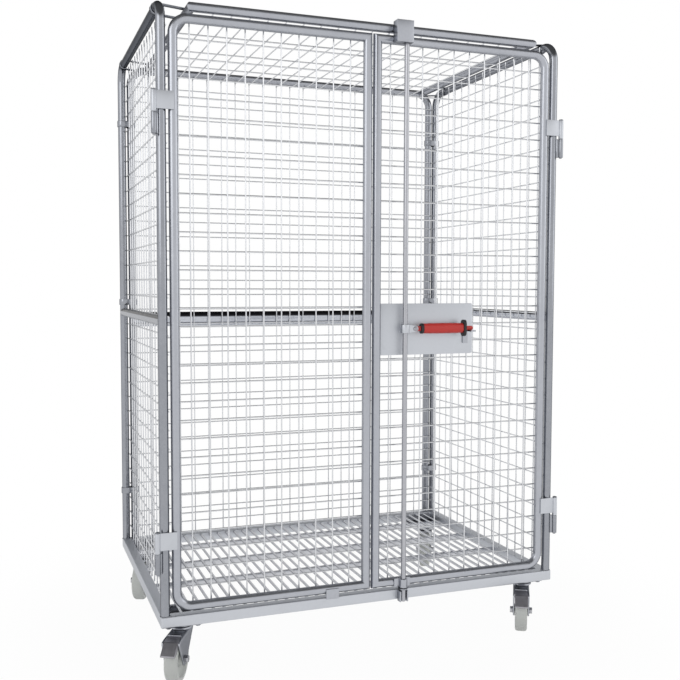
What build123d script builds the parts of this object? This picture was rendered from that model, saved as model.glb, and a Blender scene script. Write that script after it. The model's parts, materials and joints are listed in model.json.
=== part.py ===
from build123d import *
from math import atan2, cos, degrees, hypot, radians, sin
import os

# Roll container: a wire mesh cage with two doors on a wheeled base.
# Millimetres, +Z up, front towards -Y, X to the right as seen from the front.
# The origin is on the floor under the middle of the whole object.

# Cage
WIDTH = 1200.0  # over the posts, left to right
DEPTH = 820.0  # over the posts, front to back
CAGE_HEIGHT = 1615.0  # base rails to the top of the side frames
TUBE = 25.0  # outside diameter of every frame tube
FRAME_BEND = 50.0  # centreline radius of the side and back frames
PANEL_BEND = 40.0  # centreline radius of the doors beside the posts
SIDES = 12  # flats that stand in for the round of a tube or a boss
BEND_RUNS = 4  # short straight runs that stand in for a bend
SIDE_RAIL_RISE = 785.0  # base rails to the middle of the side rails
SIDE_RAIL_HEIGHT = 28.0
BACK_RAIL_RISE = 760.0  # base rails to the middle of the back rail
BACK_RAIL_HEIGHT = 50.0
ROOF_INSET = 80.0  # outer faces of the posts to the roof frame
ROOF_DROP = 7.0  # roof frame below the top tubes of the side frames
CLAMP_LENGTH = 20.0  # along the tubes that a clamp holds together
CLAMP_STEEL = 2.0
PANEL_CLAMP_STEPS = (2.5, -2.5)  # end clamps of the back, in mesh pitches from the end rows
ROOF_CLAMP_STEPS = (0.5, -0.5)  # clamps of the roof, in mesh pitches from the end columns

# Wires
MESH_WIRE = 4.0
MESH_PITCH = 50.0
ROOF_CROSS_WIRES = 3
FLOOR_WIRE = 8.0
FLOOR_PITCH = 30.0
FLOOR_DROP = 3.0  # top of the floor wires below the top of the rails
CROSS_BARS = 4
CROSS_BAR_HEIGHT = 18.0
CROSS_BAR_THICKNESS = 8.0
SEAT = 0.1  # between a round tube and what is welded or clamped on it
PANEL_GAP = 0.5  # between neighbouring panels

# Base
BASE_RAIL = 30.0
CORNER_PLATE = 130.0
CORNER_PLATE_STEEL = 5.0

# Casters
WHEEL = 125.0
WHEEL_WIDTH = 36.0
WHEEL_TREAD = 26.0  # flat middle of the tread
WHEEL_RIM = 14.0  # depth of the rim
WHEEL_WEB = 14.0
WHEEL_SIDES = 20  # flats that stand in for the round of a wheel
HUB = 40.0
HUB_PROUD = 2.0
WHEEL_SIDE_GAP = 2.5
WHEEL_TOP_GAP = 2.0
TRAIL = 48.0  # swivel axis to the axle
FORK_STEEL = 4.0
FORK_LEAD = 30.0  # fork crown ahead of the swivel axis
FORK_EYE = 17.0  # round end of the fork legs
FORK_CROWN = 8.0  # depth of the crown in the side view
FORK_BEVEL = 6.0  # stands in for the round over each leg
RACE = 60.0
RACE_HEIGHT = 15.0
RACE_GAP = 0.5
KING_PIN = 12.0
AXLE = 10.0
AXLE_HEX = 17.0
AXLE_HEAD = 9.0
CASTER_PLATE = (105.0, 85.0)
CASTER_PLATE_STEEL = 4.0
CASTER_BOLT = 8.0
CASTER_BOLT_HEX = 13.0
CASTER_BOLT_HEAD = 5.5
CASTER_BOLT_SPACING = (80.0, 60.0)
CASTER_BOLT_ROOM = 0.5
SWIVEL = {"front_left": -27.0, "front_right": -31.0, "rear_left": -22.0, "rear_right": -28.0}

# Brake pedals
PEDAL_LIFT = 50.0  # angle of the pivot above the axle, behind it
PEDAL_ROOM = 11.0  # tread to the pivot
PEDAL_BARREL = 12.0
PEDAL_PIN = 6.0
PEDAL_LENGTH = 46.0
PEDAL_SLOPE = 32.0
PEDAL_TIP = 6.0
PEDAL_SIDE_GAP = 1.0
PEDAL_TRAVEL = 15.0
SHOE_REACH = 20.0
SHOE_DROP = 6.0
SHOE_GAP = 0.6  # left over the tread when the pedal is down

# Doors
DOOR_PROUD = 1.0  # doors in front of the posts
DOOR_SIDE_GAP = 6.0
DOOR_CENTRE_GAP = 4.0
DOOR_TOP_GAP = 1.5
DOOR_BOTTOM_GAP = 8.0
STOP_X = -120.0
STOP_WIDTH = 38.0
STOP_STEEL = 3.0
STOP_OVERLAP = 4.0  # over the face of the base rail

# Hinges
HINGE_OUT = 8.0  # axis outside the posts
HINGE_FRONT = 2.0  # axis in front of the posts
HINGE_RISES = (118.0, 1265.0)  # base rails to the foot of each hinge
HINGE_HEIGHT = 110.0
KNUCKLE = 14.0
KNUCKLE_GAP = 0.5
LEAF_HEIGHT = 47.0
LEAF_STEEL = 4.0
LEAF_LAP = 0.0  # past the middle of the stile
LUG_STEEL = 8.0
HINGE_PIN = 8.0
HINGE_PIN_HEAD = 13.0
HINGE_PIN_CAP = 3.0
RUNNING_FIT = 0.05  # on the radius

# Lock
BAR = 14.0
BAR_X = 94.0
BAR_STANDOFF = 4.0  # in front of the door tubes
BAR_OVERHANG = 33.0  # down over the face of the base rail
BAR_TIP = 1.0  # above the upper cam
CAM_HUB = 24.0
CAM_NOSE = 12.0
CAM_REACH = 24.0
TOP_CAM = 5.0
BOTTOM_CAM = 4.0
TOP_CAM_GAP = 1.5
BOTTOM_CAM_GAP = 2.0
KEEPER_STEEL = 4.0
KEEPER_GAP = 2.0
KEEPER_HEIGHT = 8.0
GUIDE_STEEL = 3.0
GUIDE_WIDTH = 50.0
GUIDE_HEIGHT = 60.0
GUIDE_SHIFT = 12.0  # middle of the upper guide left of the bar
GUIDE_CHEEK = 28.0  # height of the shorter cheek, below the cam
GUIDE_EYE = 22.0
LOCK_PLATE_WIDTH = 312.0
LOCK_PLATE_HEIGHT = 148.0
LOCK_PLATE_STEEL = 3.0
LOCK_PLATE_ROUND = 6.0
LOCK_PLATE_DROP = 3.0  # middle of the plate below the handle

# Handle
HANDLE_RISE = 756.0  # base rails to the handle
HANDLE_REACH = 29.0  # bar axis to the pivot pin
HANDLE_PIN = 8.0
HANDLE_PIN_HEAD = 14.0
HANDLE_PIN_CAP = 3.0
CLEVIS_BARREL = 26.0
CLEVIS_HEIGHT = 24.0
CLEVIS_EYE = 18.0
CLEVIS_STEEL = 4.0
LEVER_INSET = 16.5  # tip to the edge of the lock plate
LEVER_HEIGHT = 12.0
LEVER_STEEL = 8.0
LEVER_EYE = 14.0
LEVER_GAP = 0.3
GRIP_START = 27.0  # pivot pin to the grip
GRIP_END = 25.0  # grip collar to the tip
GRIP_HEIGHT = 30.0
GRIP_DEPTH = 22.0
GRIP_ROUND = 9.0
RING_LENGTH = 8.0
COLLAR_LENGTH = 8.0
COLLAR_HEIGHT = 48.0
COLLAR_DEPTH = 26.0
SEAT_WIDTH = 16.0
SEAT_STEEL = 4.0
SEAT_HEIGHT = 40.0
SEAT_GAP = 0.3
PADLOCK_EYE = 10.0
PADLOCK_REACH = 18.0  # in front of the lever

# Levels
Z_AXLE = WHEEL / 2
Z_CROWN = WHEEL + WHEEL_TOP_GAP
Z_FORK_TOP = Z_CROWN + FORK_STEEL
Z_CASTER_PLATE = Z_FORK_TOP + RACE_HEIGHT
Z_CORNER_PLATE = Z_CASTER_PLATE + CASTER_PLATE_STEEL
Z_BASE = Z_CORNER_PLATE + CORNER_PLATE_STEEL
Z_DECK = Z_BASE + BASE_RAIL
Z_TOP = Z_DECK + CAGE_HEIGHT
Z_TOP_TUBE = Z_TOP - TUBE / 2
Z_ROOF = Z_TOP_TUBE - ROOF_DROP
Z_ROOF_MESH = Z_ROOF - TUBE / 2 - SEAT
Z_SIDE_RAIL = Z_DECK + SIDE_RAIL_RISE
Z_BACK_RAIL = Z_DECK + BACK_RAIL_RISE
Z_DOOR_TOP = Z_ROOF_MESH - MESH_WIRE - DOOR_TOP_GAP
Z_DOOR_FOOT = Z_DECK + DOOR_BOTTOM_GAP
Z_DOOR_SILL = Z_DOOR_FOOT + TUBE / 2
Z_DOOR_HEAD = Z_DOOR_TOP - TUBE / 2
Z_HANDLE = Z_DECK + HANDLE_RISE
Z_BAR_FOOT = Z_DECK - BAR_OVERHANG
Z_TOP_CAM = Z_ROOF + TUBE / 2 + TOP_CAM_GAP
Z_BAR_TOP = Z_TOP_CAM + TOP_CAM + BAR_TIP
Z_BOTTOM_CAM = Z_DECK + BOTTOM_CAM_GAP

# Places in plan
X_POST = WIDTH / 2 - TUBE / 2
Y_FRONT = -DEPTH / 2 + TUBE / 2
Y_REAR = -Y_FRONT
X_SIDE_MESH = WIDTH / 2 - TUBE - SEAT
X_BACK = X_SIDE_MESH - MESH_WIRE - PANEL_GAP - TUBE / 2
ROOF_WIDTH = WIDTH - 2 * ROOF_INSET
X_ROOF = ROOF_WIDTH / 2 - TUBE / 2
Y_BACK_MESH = DEPTH / 2 - TUBE - SEAT
Y_ROOF_REAR = Y_BACK_MESH - 2 * MESH_WIRE - PANEL_GAP - TUBE / 2
Y_DOOR = Y_FRONT - DOOR_PROUD
Y_DOOR_FACE = Y_DOOR - TUBE / 2
Y_DOOR_MESH = Y_DOOR + TUBE / 2 + SEAT
X_STILE = WIDTH / 2 - TUBE - DOOR_SIDE_GAP - TUBE / 2
X_MEETING_STILE = DOOR_CENTRE_GAP / 2 + TUBE / 2
X_HINGE = WIDTH / 2 + HINGE_OUT
Y_HINGE = -DEPTH / 2 - HINGE_FRONT
Y_BAR = Y_DOOR_FACE - BAR_STANDOFF - BAR / 2
X_HANDLE_PIN = BAR_X + HANDLE_REACH
X_LEVER_TIP = X_MEETING_STILE + LOCK_PLATE_WIDTH - LEVER_INSET
X_GRIP = X_HANDLE_PIN + GRIP_START
X_COLLAR = X_LEVER_TIP - GRIP_END - COLLAR_LENGTH
X_PADLOCK = X_LEVER_TIP - SEAT_WIDTH / 2
Y_PADLOCK = Y_BAR - PADLOCK_REACH
X_CASTER = WIDTH / 2 - CORNER_PLATE / 2
Y_CASTER = DEPTH / 2 - CORNER_PLATE / 2
RAIL_IN_X = WIDTH / 2 - BASE_RAIL
RAIL_IN_Y = DEPTH / 2 - BASE_RAIL
FORK_IN = WHEEL_WIDTH / 2 + WHEEL_SIDE_GAP
FORK_OUT = FORK_IN + FORK_STEEL
PEDAL_Y = -TRAIL - (WHEEL / 2 + PEDAL_ROOM) * cos(radians(PEDAL_LIFT))
PEDAL_Z = Z_AXLE + (WHEEL / 2 + PEDAL_ROOM) * sin(radians(PEDAL_LIFT))


def spread(low, high, pitch, wire):
    """Middles of the wires that fit between two edges at a pitch, in the middle of the gap."""
    count = int((high - low - wire) // pitch)
    first = (low + high - (count - 1) * pitch) / 2
    return [first + i * pitch for i in range(count)]


def wire_gaps(places):
    """Middles of the gaps between neighbouring wires."""
    return [(one + other) / 2 for one, other in zip(places, places[1:])]


def rods_along_x(plane, places, low, high, layer, wire=MESH_WIRE):
    """Wires along the x axis of a panel's plane, in one layer on it."""
    rod = Box(high - low, wire, wire)
    return [plane * Pos((low + high) / 2, y, (layer + 0.5) * wire) * rod for y in places]


def rods_along_y(plane, places, low, high, layer, wire=MESH_WIRE):
    """Wires along the y axis of a panel's plane, in one layer on it."""
    rod = Box(wire, high - low, wire)
    return [plane * Pos(x, (low + high) / 2, (layer + 0.5) * wire) * rod for x in places]


def group(solids):
    """Separate solids kept as one node."""
    return Compound(list(solids))


def flats(x, y, across):
    """Outline with flats in place of a circle, some of them square to both axes."""
    return Pos(x, y) * Rot(0, 0, 180 / SIDES) * RegularPolygon(across / 2, SIDES, major_radius=False)


def bend_places(before, corner, after, bend):
    """Places along the centreline of a right-angled bend, or its corner alone where the tube is mitred."""
    if not bend:
        return [corner]
    back, on = (before - corner).normalized(), (after - corner).normalized()
    turns = [radians(90 * i / BEND_RUNS) for i in range(BEND_RUNS + 1)]
    return [corner + (back + on - on * cos(turn) - back * sin(turn)) * bend for turn in turns]


def bent_tube(corners, bends):
    """Frame tube with a bend, or a mitre for a bend of nought, at each corner between its two ends."""
    places = [Vector(*corner) for corner in corners]
    line = places[:1]
    for before, corner, after, bend in zip(places, places[1:], places[2:], bends):
        line += bend_places(before, corner, after, bend)
    path = Polyline(*line, places[-1])
    section = Plane(origin=path @ 0, z_dir=path % 0) * flats(0, 0, TUBE)
    return sweep(section, path=path, transition=Transition.RIGHT)


def disc(x, y, diameter):
    """Circle in a sketch."""
    return Pos(x, y) * Circle(diameter / 2)


def hull(*shapes):
    """Convex outline round several sketches."""
    return make_hull([edge for shape in shapes for edge in shape.edges()])


def block(low, high):
    """Box between two opposite corners."""
    size = [b - a for a, b in zip(low, high)]
    middle = [(a + b) / 2 for a, b in zip(low, high)]
    return Pos(*middle) * Box(*size)


def leg(x, y):
    """Straight tube at the place of a leg, for what is coped to it."""
    return slab(flats(x, y, TUBE), Z_DECK, Z_TOP)


def upright(x, y, diameter, low, high):
    """Vertical cylinder between two levels."""
    return Pos(x, y, (low + high) / 2) * Cylinder(diameter / 2, high - low)


def slab(sketch, low, high):
    """Plan outline raised between two levels."""
    return extrude(Pos(0, 0, low) * sketch, high - low)


def hexagon(across):
    """Bolt head outline from its width across flats."""
    return RegularPolygon(across / 2, 6, major_radius=False)


def base_frame():
    """Square rails round the base."""
    plan = Rectangle(WIDTH, DEPTH) - Rectangle(2 * RAIL_IN_X, 2 * RAIL_IN_Y)
    return slab(plan, Z_BASE, Z_DECK)


def caster_corners():
    """Sign of each corner in X and Y, by name."""
    names = {"left": -1, "right": 1, "front": -1, "rear": 1}
    return {corner: [names[word] for word in reversed(corner.split("_"))] for corner in SWIVEL}


def caster_spots():
    """Caster middles at the four corners."""
    return [Pos(x * X_CASTER, y * Y_CASTER, 0) for x, y in caster_corners().values()]


def bolt_spots():
    """Bolt places round one caster."""
    return GridLocations(*CASTER_BOLT_SPACING, 2, 2)


def corner_plates():
    """Plates under the corners of the base, drilled for the casters."""
    plan = Rectangle(CORNER_PLATE, CORNER_PLATE) - bolt_spots() * hexagon(CASTER_BOLT + 2 * CASTER_BOLT_ROOM)
    plate = slab(plan, Z_CORNER_PLATE, Z_BASE)
    return group(spot * plate for spot in caster_spots())


def caster_plates():
    """Caster top plates with the fixed race and the king pin."""
    plan = Rectangle(*CASTER_PLATE) - bolt_spots() * hexagon(CASTER_BOLT + 2 * CASTER_BOLT_ROOM)
    plate = slab(plan, Z_CASTER_PLATE, Z_CORNER_PLATE)
    plate += slab(flats(0, 0, RACE), Z_CASTER_PLATE - RACE_HEIGHT / 2, Z_CASTER_PLATE)
    plate += upright(0, 0, KING_PIN, Z_CROWN, Z_CASTER_PLATE)
    return group(spot * plate for spot in caster_spots())


def caster_bolts():
    """Bolts from below through the caster plates and the corner plates."""
    bolt = slab(hexagon(CASTER_BOLT_HEX), Z_CASTER_PLATE - CASTER_BOLT_HEAD, Z_CASTER_PLATE)
    bolt += slab(RegularPolygon(CASTER_BOLT / 2, 6), Z_CASTER_PLATE, Z_BASE)
    return group(spot * place * bolt for spot in caster_spots() for place in bolt_spots())


def floor_cross_bars():
    """Bars from side rail to side rail under the floor wires."""
    top = Z_DECK - FLOOR_DROP - FLOOR_WIRE
    step = 2 * RAIL_IN_Y / CROSS_BARS
    bar = Pos(0, 0, top - CROSS_BAR_HEIGHT / 2) * Box(2 * RAIL_IN_X, CROSS_BAR_THICKNESS, CROSS_BAR_HEIGHT)
    return group(Pos(0, -RAIL_IN_Y + (i + 0.5) * step, 0) * bar for i in range(CROSS_BARS))


def floor_wires():
    """Close wires from the front rail to the back rail."""
    plane = Plane(origin=(0, 0, Z_DECK - FLOOR_DROP - FLOOR_WIRE))
    places = spread(-RAIL_IN_X, RAIL_IN_X, FLOOR_PITCH, FLOOR_WIRE)
    return group(rods_along_y(plane, places, -RAIL_IN_Y, RAIL_IN_Y, 0, FLOOR_WIRE))


def left_side_frame():
    """Arched tube whose feet stand on the left rail."""
    front, rear = (-X_POST, Y_FRONT), (-X_POST, Y_REAR)
    corners = [(*front, Z_DECK), (*front, Z_TOP_TUBE), (*rear, Z_TOP_TUBE), (*rear, Z_DECK)]
    return bent_tube(corners, (FRAME_BEND, FRAME_BEND))


def rail_section(height):
    """Upright oval section of a mid rail, as deep as the tubes."""
    rise = (height - TUBE) / 2
    return hull(flats(0, rise, TUBE), flats(0, -rise, TUBE))


def left_mid_rail():
    """Rail between the legs of the left side frame."""
    rail = extrude(Plane.XZ * rail_section(SIDE_RAIL_HEIGHT), Y_REAR, both=True)
    return Pos(-X_POST, 0, Z_SIDE_RAIL) * rail - [leg(-X_POST, y) for y in (Y_FRONT, Y_REAR)]


def panel_rows():
    """Levels of the level wires of the side and back panels."""
    return spread(Z_DECK, Z_TOP - TUBE, MESH_PITCH, MESH_WIRE)


def side_columns():
    """Places of the upright wires of the side panels."""
    return spread(Y_FRONT + TUBE / 2, Y_REAR - TUBE / 2, MESH_PITCH, MESH_WIRE)


def left_mesh():
    """Rows on the left side frame, with columns standing on the rail."""
    plane = Plane(origin=(-X_SIDE_MESH, 0, 0), x_dir=(0, 1, 0), z_dir=(1, 0, 0))
    wires = rods_along_x(plane, panel_rows(), Y_FRONT, Y_REAR, 0)
    return group(wires + rods_along_y(plane, side_columns(), Z_DECK, Z_TOP_TUBE, 1))


def back_frame():
    """Arched tube between the rear legs of the side frames."""
    left, right = (-X_BACK, Y_REAR), (X_BACK, Y_REAR)
    corners = [(*left, Z_DECK), (*left, Z_TOP_TUBE), (*right, Z_TOP_TUBE), (*right, Z_DECK)]
    return bent_tube(corners, (FRAME_BEND, FRAME_BEND))


def back_mid_rail():
    """Rail between the legs of the back frame."""
    rail = extrude(Plane.YZ * rail_section(BACK_RAIL_HEIGHT), X_BACK, both=True)
    return Pos(0, Y_REAR, Z_BACK_RAIL) * rail - [leg(x, Y_REAR) for x in (-X_BACK, X_BACK)]


def back_mesh():
    """Rows on the back frame, with columns standing on the rail."""
    plane = Plane(origin=(0, Y_BACK_MESH, 0), x_dir=(1, 0, 0), z_dir=(0, -1, 0))
    columns = spread(-X_BACK + TUBE / 2, X_BACK - TUBE / 2, MESH_PITCH, MESH_WIRE)
    wires = rods_along_x(plane, panel_rows(), -X_BACK, X_BACK, 0)
    return group(wires + rods_along_y(plane, columns, Z_DECK, Z_TOP_TUBE, 1))


def clamp_outline(first, second):
    """Band round two tubes that lie side by side."""
    inner = TUBE + 2 * SEAT
    outer = inner + 2 * CLAMP_STEEL
    band = hull(flats(*first, outer), flats(*second, outer))
    return band - hull(flats(*first, inner), flats(*second, inner))


def panel_clamp_levels():
    """Levels of the back clamps: one near each end row and one in the first gap above the mid rails."""
    rows = panel_rows()
    low, high = PANEL_CLAMP_STEPS
    rail_top = max(Z_SIDE_RAIL + SIDE_RAIL_HEIGHT / 2, Z_BACK_RAIL + BACK_RAIL_HEIGHT / 2)
    middle = min(z for z in wire_gaps(rows) if z - CLAMP_LENGTH / 2 > rail_top)
    return [rows[0] + low * MESH_PITCH, middle, rows[-1] + high * MESH_PITCH]


def panel_clamps():
    """Bands that tie the back frame to the side frames."""
    band = extrude(clamp_outline((-X_POST, Y_REAR), (-X_BACK, Y_REAR)), CLAMP_LENGTH / 2, both=True)
    left = [Pos(0, 0, level) * band for level in panel_clamp_levels()]
    return group(left + [mirror(clamp, Plane.YZ) for clamp in left])


def roof_clamps():
    """Bands that tie the roof frame to the side frames."""
    outline = clamp_outline((-X_POST, Z_TOP_TUBE), (-X_ROOF, Z_ROOF))
    band = extrude(Plane.XZ * outline, CLAMP_LENGTH / 2, both=True)
    columns, (first, last) = side_columns(), ROOF_CLAMP_STEPS
    places = (columns[0] + first * MESH_PITCH, columns[-1] + last * MESH_PITCH)
    left = [Pos(0, place, 0) * band for place in places]
    return group(left + [mirror(clamp, Plane.YZ) for clamp in left])


def roof_frame():
    """Mitred tubes in a rectangle between the side frames, over the doors."""
    left, front, rear = -X_ROOF, Y_FRONT, Y_ROOF_REAR
    corners = [(0, front, Z_ROOF), (left, front, Z_ROOF), (left, rear, Z_ROOF), (0, rear, Z_ROOF)]
    half = bent_tube(corners, (0, 0))
    return half + mirror(half, Plane.YZ)


def roof_mesh():
    """Front-to-back wires under the roof frame, with a few cross wires below them."""
    plane = Plane(origin=(0, 0, Z_ROOF_MESH), x_dir=(1, 0, 0), z_dir=(0, 0, -1))
    places = spread(-X_ROOF + TUBE / 2, X_ROOF - TUBE / 2, MESH_PITCH, MESH_WIRE)
    step = (Y_ROOF_REAR - Y_FRONT) / (ROOF_CROSS_WIRES + 1)
    crossings = [-Y_FRONT - (i + 1) * step for i in range(ROOF_CROSS_WIRES)]
    wires = rods_along_y(plane, places, -Y_ROOF_REAR, -Y_FRONT, 0)
    return group(wires + rods_along_x(plane, crossings, -X_ROOF, X_ROOF, 1))


def hinge_feet():
    """Level of the lower end of each hinge."""
    return [Z_DECK + rise for rise in HINGE_RISES]


def left_hinge_lugs():
    """Lower knuckles on the left post, each with an arm coped to the tube."""
    run = (X_HINGE - X_POST, Y_FRONT - Y_HINGE)
    turn = Rot(0, 0, degrees(atan2(run[1], run[0])))
    arm = Pos(-X_HINGE, Y_HINGE) * turn * Pos(hypot(*run) / 2, 0) * Rectangle(hypot(*run), LUG_STEEL)
    bore = flats(-X_HINGE, Y_HINGE, HINGE_PIN + 2 * RUNNING_FIT)
    plan = flats(-X_HINGE, Y_HINGE, KNUCKLE) + arm - flats(-X_POST, Y_FRONT, TUBE) - bore
    return group(slab(plan, z, z + (HINGE_HEIGHT - KNUCKLE_GAP) / 2) for z in hinge_feet())


def left_hinge_leaves():
    """Upper knuckles on the left door, each with a leaf in front of the post and the stile."""
    bore = flats(-X_HINGE, Y_HINGE, HINGE_PIN + 2 * RUNNING_FIT)
    knuckle = flats(-X_HINGE, Y_HINGE, KNUCKLE) - bore
    low = (-X_HINGE, Y_DOOR_FACE - LEAF_STEEL)
    high = (-X_STILE + LEAF_LAP, Y_DOOR_FACE)
    leaves = []
    for foot in hinge_feet():
        top = foot + HINGE_HEIGHT
        leaf = block((*low, top - LEAF_HEIGHT), (*high, top)) - slab(bore, foot, top)
        leaves.append(slab(knuckle, foot + (HINGE_HEIGHT + KNUCKLE_GAP) / 2, top) + leaf)
    return group(leaves)


def hinge_pins():
    """Headed pins through both knuckles of each hinge."""
    pins = []
    for foot in hinge_feet():
        head = foot + HINGE_HEIGHT + KNUCKLE_GAP
        pin = upright(-X_HINGE, Y_HINGE, HINGE_PIN, foot - HINGE_PIN_CAP, head)
        pins.append(pin + slab(flats(-X_HINGE, Y_HINGE, HINGE_PIN_HEAD), head, head + HINGE_PIN_CAP))
    return group(pins + [mirror(pin, Plane.YZ) for pin in pins])


def left_door_frame():
    """Tube bent beside the left post and mitred at the middle of the container."""
    middle, stile, meeting = (Z_DOOR_SILL + Z_DOOR_HEAD) / 2, (-X_STILE, Y_DOOR), (-X_MEETING_STILE, Y_DOOR)
    corners = [(*meeting, middle), (*meeting, Z_DOOR_SILL), (*stile, Z_DOOR_SILL), (*stile, middle)]
    half = bent_tube(corners, (0, PANEL_BEND))
    return half + mirror(half, Plane.XY.offset(middle))


def left_door_mesh():
    """Columns on the inner side of the door tube, with rows on them."""
    plane = Plane(origin=(0, Y_DOOR_MESH, 0), x_dir=(-1, 0, 0), z_dir=(0, 1, 0))
    columns = spread(X_MEETING_STILE + TUBE / 2, X_STILE - TUBE / 2, MESH_PITCH, MESH_WIRE)
    rows = spread(Z_DOOR_SILL + TUBE / 2, Z_DOOR_HEAD - TUBE / 2, MESH_PITCH, MESH_WIRE)
    wires = rods_along_y(plane, columns, Z_DOOR_SILL, Z_DOOR_HEAD, 0)
    return group(wires + rods_along_x(plane, rows, X_MEETING_STILE, X_STILE, 1))


def left_door_stop():
    """Tab under the left door that meets the face of the base rail."""
    low = (STOP_X - STOP_WIDTH / 2, Y_DOOR_FACE - STOP_STEEL, Z_DECK - STOP_OVERLAP)
    return block(low, (STOP_X + STOP_WIDTH / 2, Y_DOOR_FACE, Z_DOOR_SILL + STOP_OVERLAP))


def lock_plate(door_frame):
    """Plate on the mesh beside the meeting stile of the right door."""
    middle = (X_MEETING_STILE + LOCK_PLATE_WIDTH / 2, Y_DOOR_MESH - SEAT, Z_HANDLE - LOCK_PLATE_DROP)
    outline = RectangleRounded(LOCK_PLATE_WIDTH, LOCK_PLATE_HEIGHT, LOCK_PLATE_ROUND)
    return Pos(*middle) * extrude(Plane.XZ * outline, LOCK_PLATE_STEEL) - door_frame


def bar_hole():
    """Running hole for the lock bar, in plan."""
    return flats(BAR_X, Y_BAR, BAR + 2 * RUNNING_FIT)


def bar_fixing():
    """Hole in what is fixed on the lock bar, in plan."""
    return flats(BAR_X, Y_BAR, BAR)


def top_bar_guide():
    """Open-backed channel on the door head, with a drilled floor that guides the bar."""
    foot = Z_DOOR_TOP - TUBE
    face = Y_BAR - CAM_HUB / 2 - GUIDE_STEEL
    left = BAR_X - GUIDE_SHIFT - GUIDE_WIDTH / 2
    right = left + GUIDE_WIDTH
    outer = block((left, face - GUIDE_STEEL, foot), (right, Y_DOOR_FACE, foot + GUIDE_HEIGHT))
    inner_low = (left + GUIDE_STEEL, face, foot + GUIDE_STEEL)
    inner = block(inner_low, (right - GUIDE_STEEL, Y_DOOR_FACE, foot + GUIDE_HEIGHT))
    window_low = (BAR_X, face, foot + GUIDE_CHEEK)
    window = block(window_low, (right, Y_DOOR_FACE, foot + GUIDE_HEIGHT))
    return outer - inner - window - slab(bar_hole(), foot, foot + GUIDE_STEEL)


def bottom_bar_guide():
    """Eye on the door sill that guides the lower end of the bar."""
    flange = Pos(BAR_X, Y_DOOR_FACE - GUIDE_STEEL / 2) * Rectangle(GUIDE_WIDTH, GUIDE_STEEL)
    neck = Pos(BAR_X, Y_DOOR_FACE - GUIDE_STEEL / 2) * Rectangle(GUIDE_EYE, GUIDE_STEEL)
    plan = hull(flats(BAR_X, Y_BAR, GUIDE_EYE), neck) + flange - bar_hole()
    return slab(plan, Z_DOOR_FOOT + SEAT, Z_DOOR_FOOT + TUBE)


def handle_seat():
    """Bracket on the lock plate under the tip of the lever, with an eye for a padlock."""
    face = Y_DOOR_MESH - SEAT - LOCK_PLATE_STEEL
    shelf = Z_HANDLE - LEVER_HEIGHT / 2 - SEAT_GAP
    left, right = X_LEVER_TIP - SEAT_WIDTH, X_LEVER_TIP
    bracket = block((left, Y_PADLOCK, shelf - SEAT_STEEL), (right, face, shelf))
    bracket += slab(flats(X_PADLOCK, Y_PADLOCK, SEAT_WIDTH), shelf - SEAT_STEEL, shelf)
    bracket += block((left, face - SEAT_STEEL, shelf - SEAT_HEIGHT), (right, face, shelf))
    return bracket - upright(X_PADLOCK, Y_PADLOCK, PADLOCK_EYE, shelf - SEAT_STEEL, shelf)


def lock_bar():
    """Round bar in front of the right door."""
    return upright(BAR_X, Y_BAR, BAR, Z_BAR_FOOT, Z_BAR_TOP)


def cam_plan():
    """Cam with its nose towards the cage."""
    return hull(flats(BAR_X, Y_BAR, CAM_HUB), flats(BAR_X, Y_BAR + CAM_REACH, CAM_NOSE)) - bar_fixing()


def top_cam():
    """Cam over the front tube of the roof frame."""
    return slab(cam_plan(), Z_TOP_CAM, Z_TOP_CAM + TOP_CAM)


def bottom_cam():
    """Cam over the base rail, under the door."""
    return slab(cam_plan(), Z_BOTTOM_CAM, Z_BOTTOM_CAM + BOTTOM_CAM)


def top_keeper(roof):
    """Angle on the front tube of the roof frame, beside and behind the upper cam."""
    left = BAR_X - CAM_NOSE / 2 - KEEPER_GAP - KEEPER_STEEL
    back = Y_BAR + CAM_REACH + CAM_NOSE / 2 + KEEPER_GAP
    top = Z_ROOF + TUBE / 2 + KEEPER_HEIGHT
    cheek = block((left, Y_FRONT, Z_ROOF), (left + KEEPER_STEEL, back, top))
    wall = block((left, back, Z_ROOF), (BAR_X + CAM_NOSE / 2, back + KEEPER_STEEL, top))
    return cheek + wall - roof


def bottom_keeper():
    """Channel on the face of the base rail round the foot of the bar, open to the front."""
    half = BAR / 2 + KEEPER_GAP
    face = -DEPTH / 2
    low, high = Z_BAR_FOOT, Z_DECK - KEEPER_GAP
    front = Y_BAR - BAR / 2
    cheek = block((BAR_X + half, front, low), (BAR_X + half + KEEPER_STEEL, face, high))
    web_low = (BAR_X - half - KEEPER_STEEL, face - KEEPER_STEEL / 2, low)
    web = block(web_low, (BAR_X + half + KEEPER_STEEL, face, high))
    return web + cheek + mirror(cheek, Plane.YZ.offset(BAR_X))


def handle_clevis():
    """Barrel on the bar with two ears for the handle."""
    low, high = Z_HANDLE - CLEVIS_HEIGHT / 2, Z_HANDLE + CLEVIS_HEIGHT / 2
    half_slot = LEVER_STEEL / 2 + LEVER_GAP
    root = Pos(BAR_X + BAR / 2, Z_HANDLE) * Rectangle(BAR / 2, CLEVIS_HEIGHT)
    ear = hull(root, flats(X_HANDLE_PIN, Z_HANDLE, CLEVIS_EYE)) - flats(X_HANDLE_PIN, Z_HANDLE, HANDLE_PIN)
    clevis = Pos(0, Y_BAR, 0) * extrude(Plane.XZ * ear, half_slot + CLEVIS_STEEL, both=True)
    slot_low = (BAR_X + CLEVIS_BARREL / 2, Y_BAR - half_slot, low)
    clevis -= block(slot_low, (X_LEVER_TIP, Y_BAR + half_slot, high))
    return clevis + slab(flats(BAR_X, Y_BAR, CLEVIS_BARREL), low, high) - slab(bar_fixing(), low, high)


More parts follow.
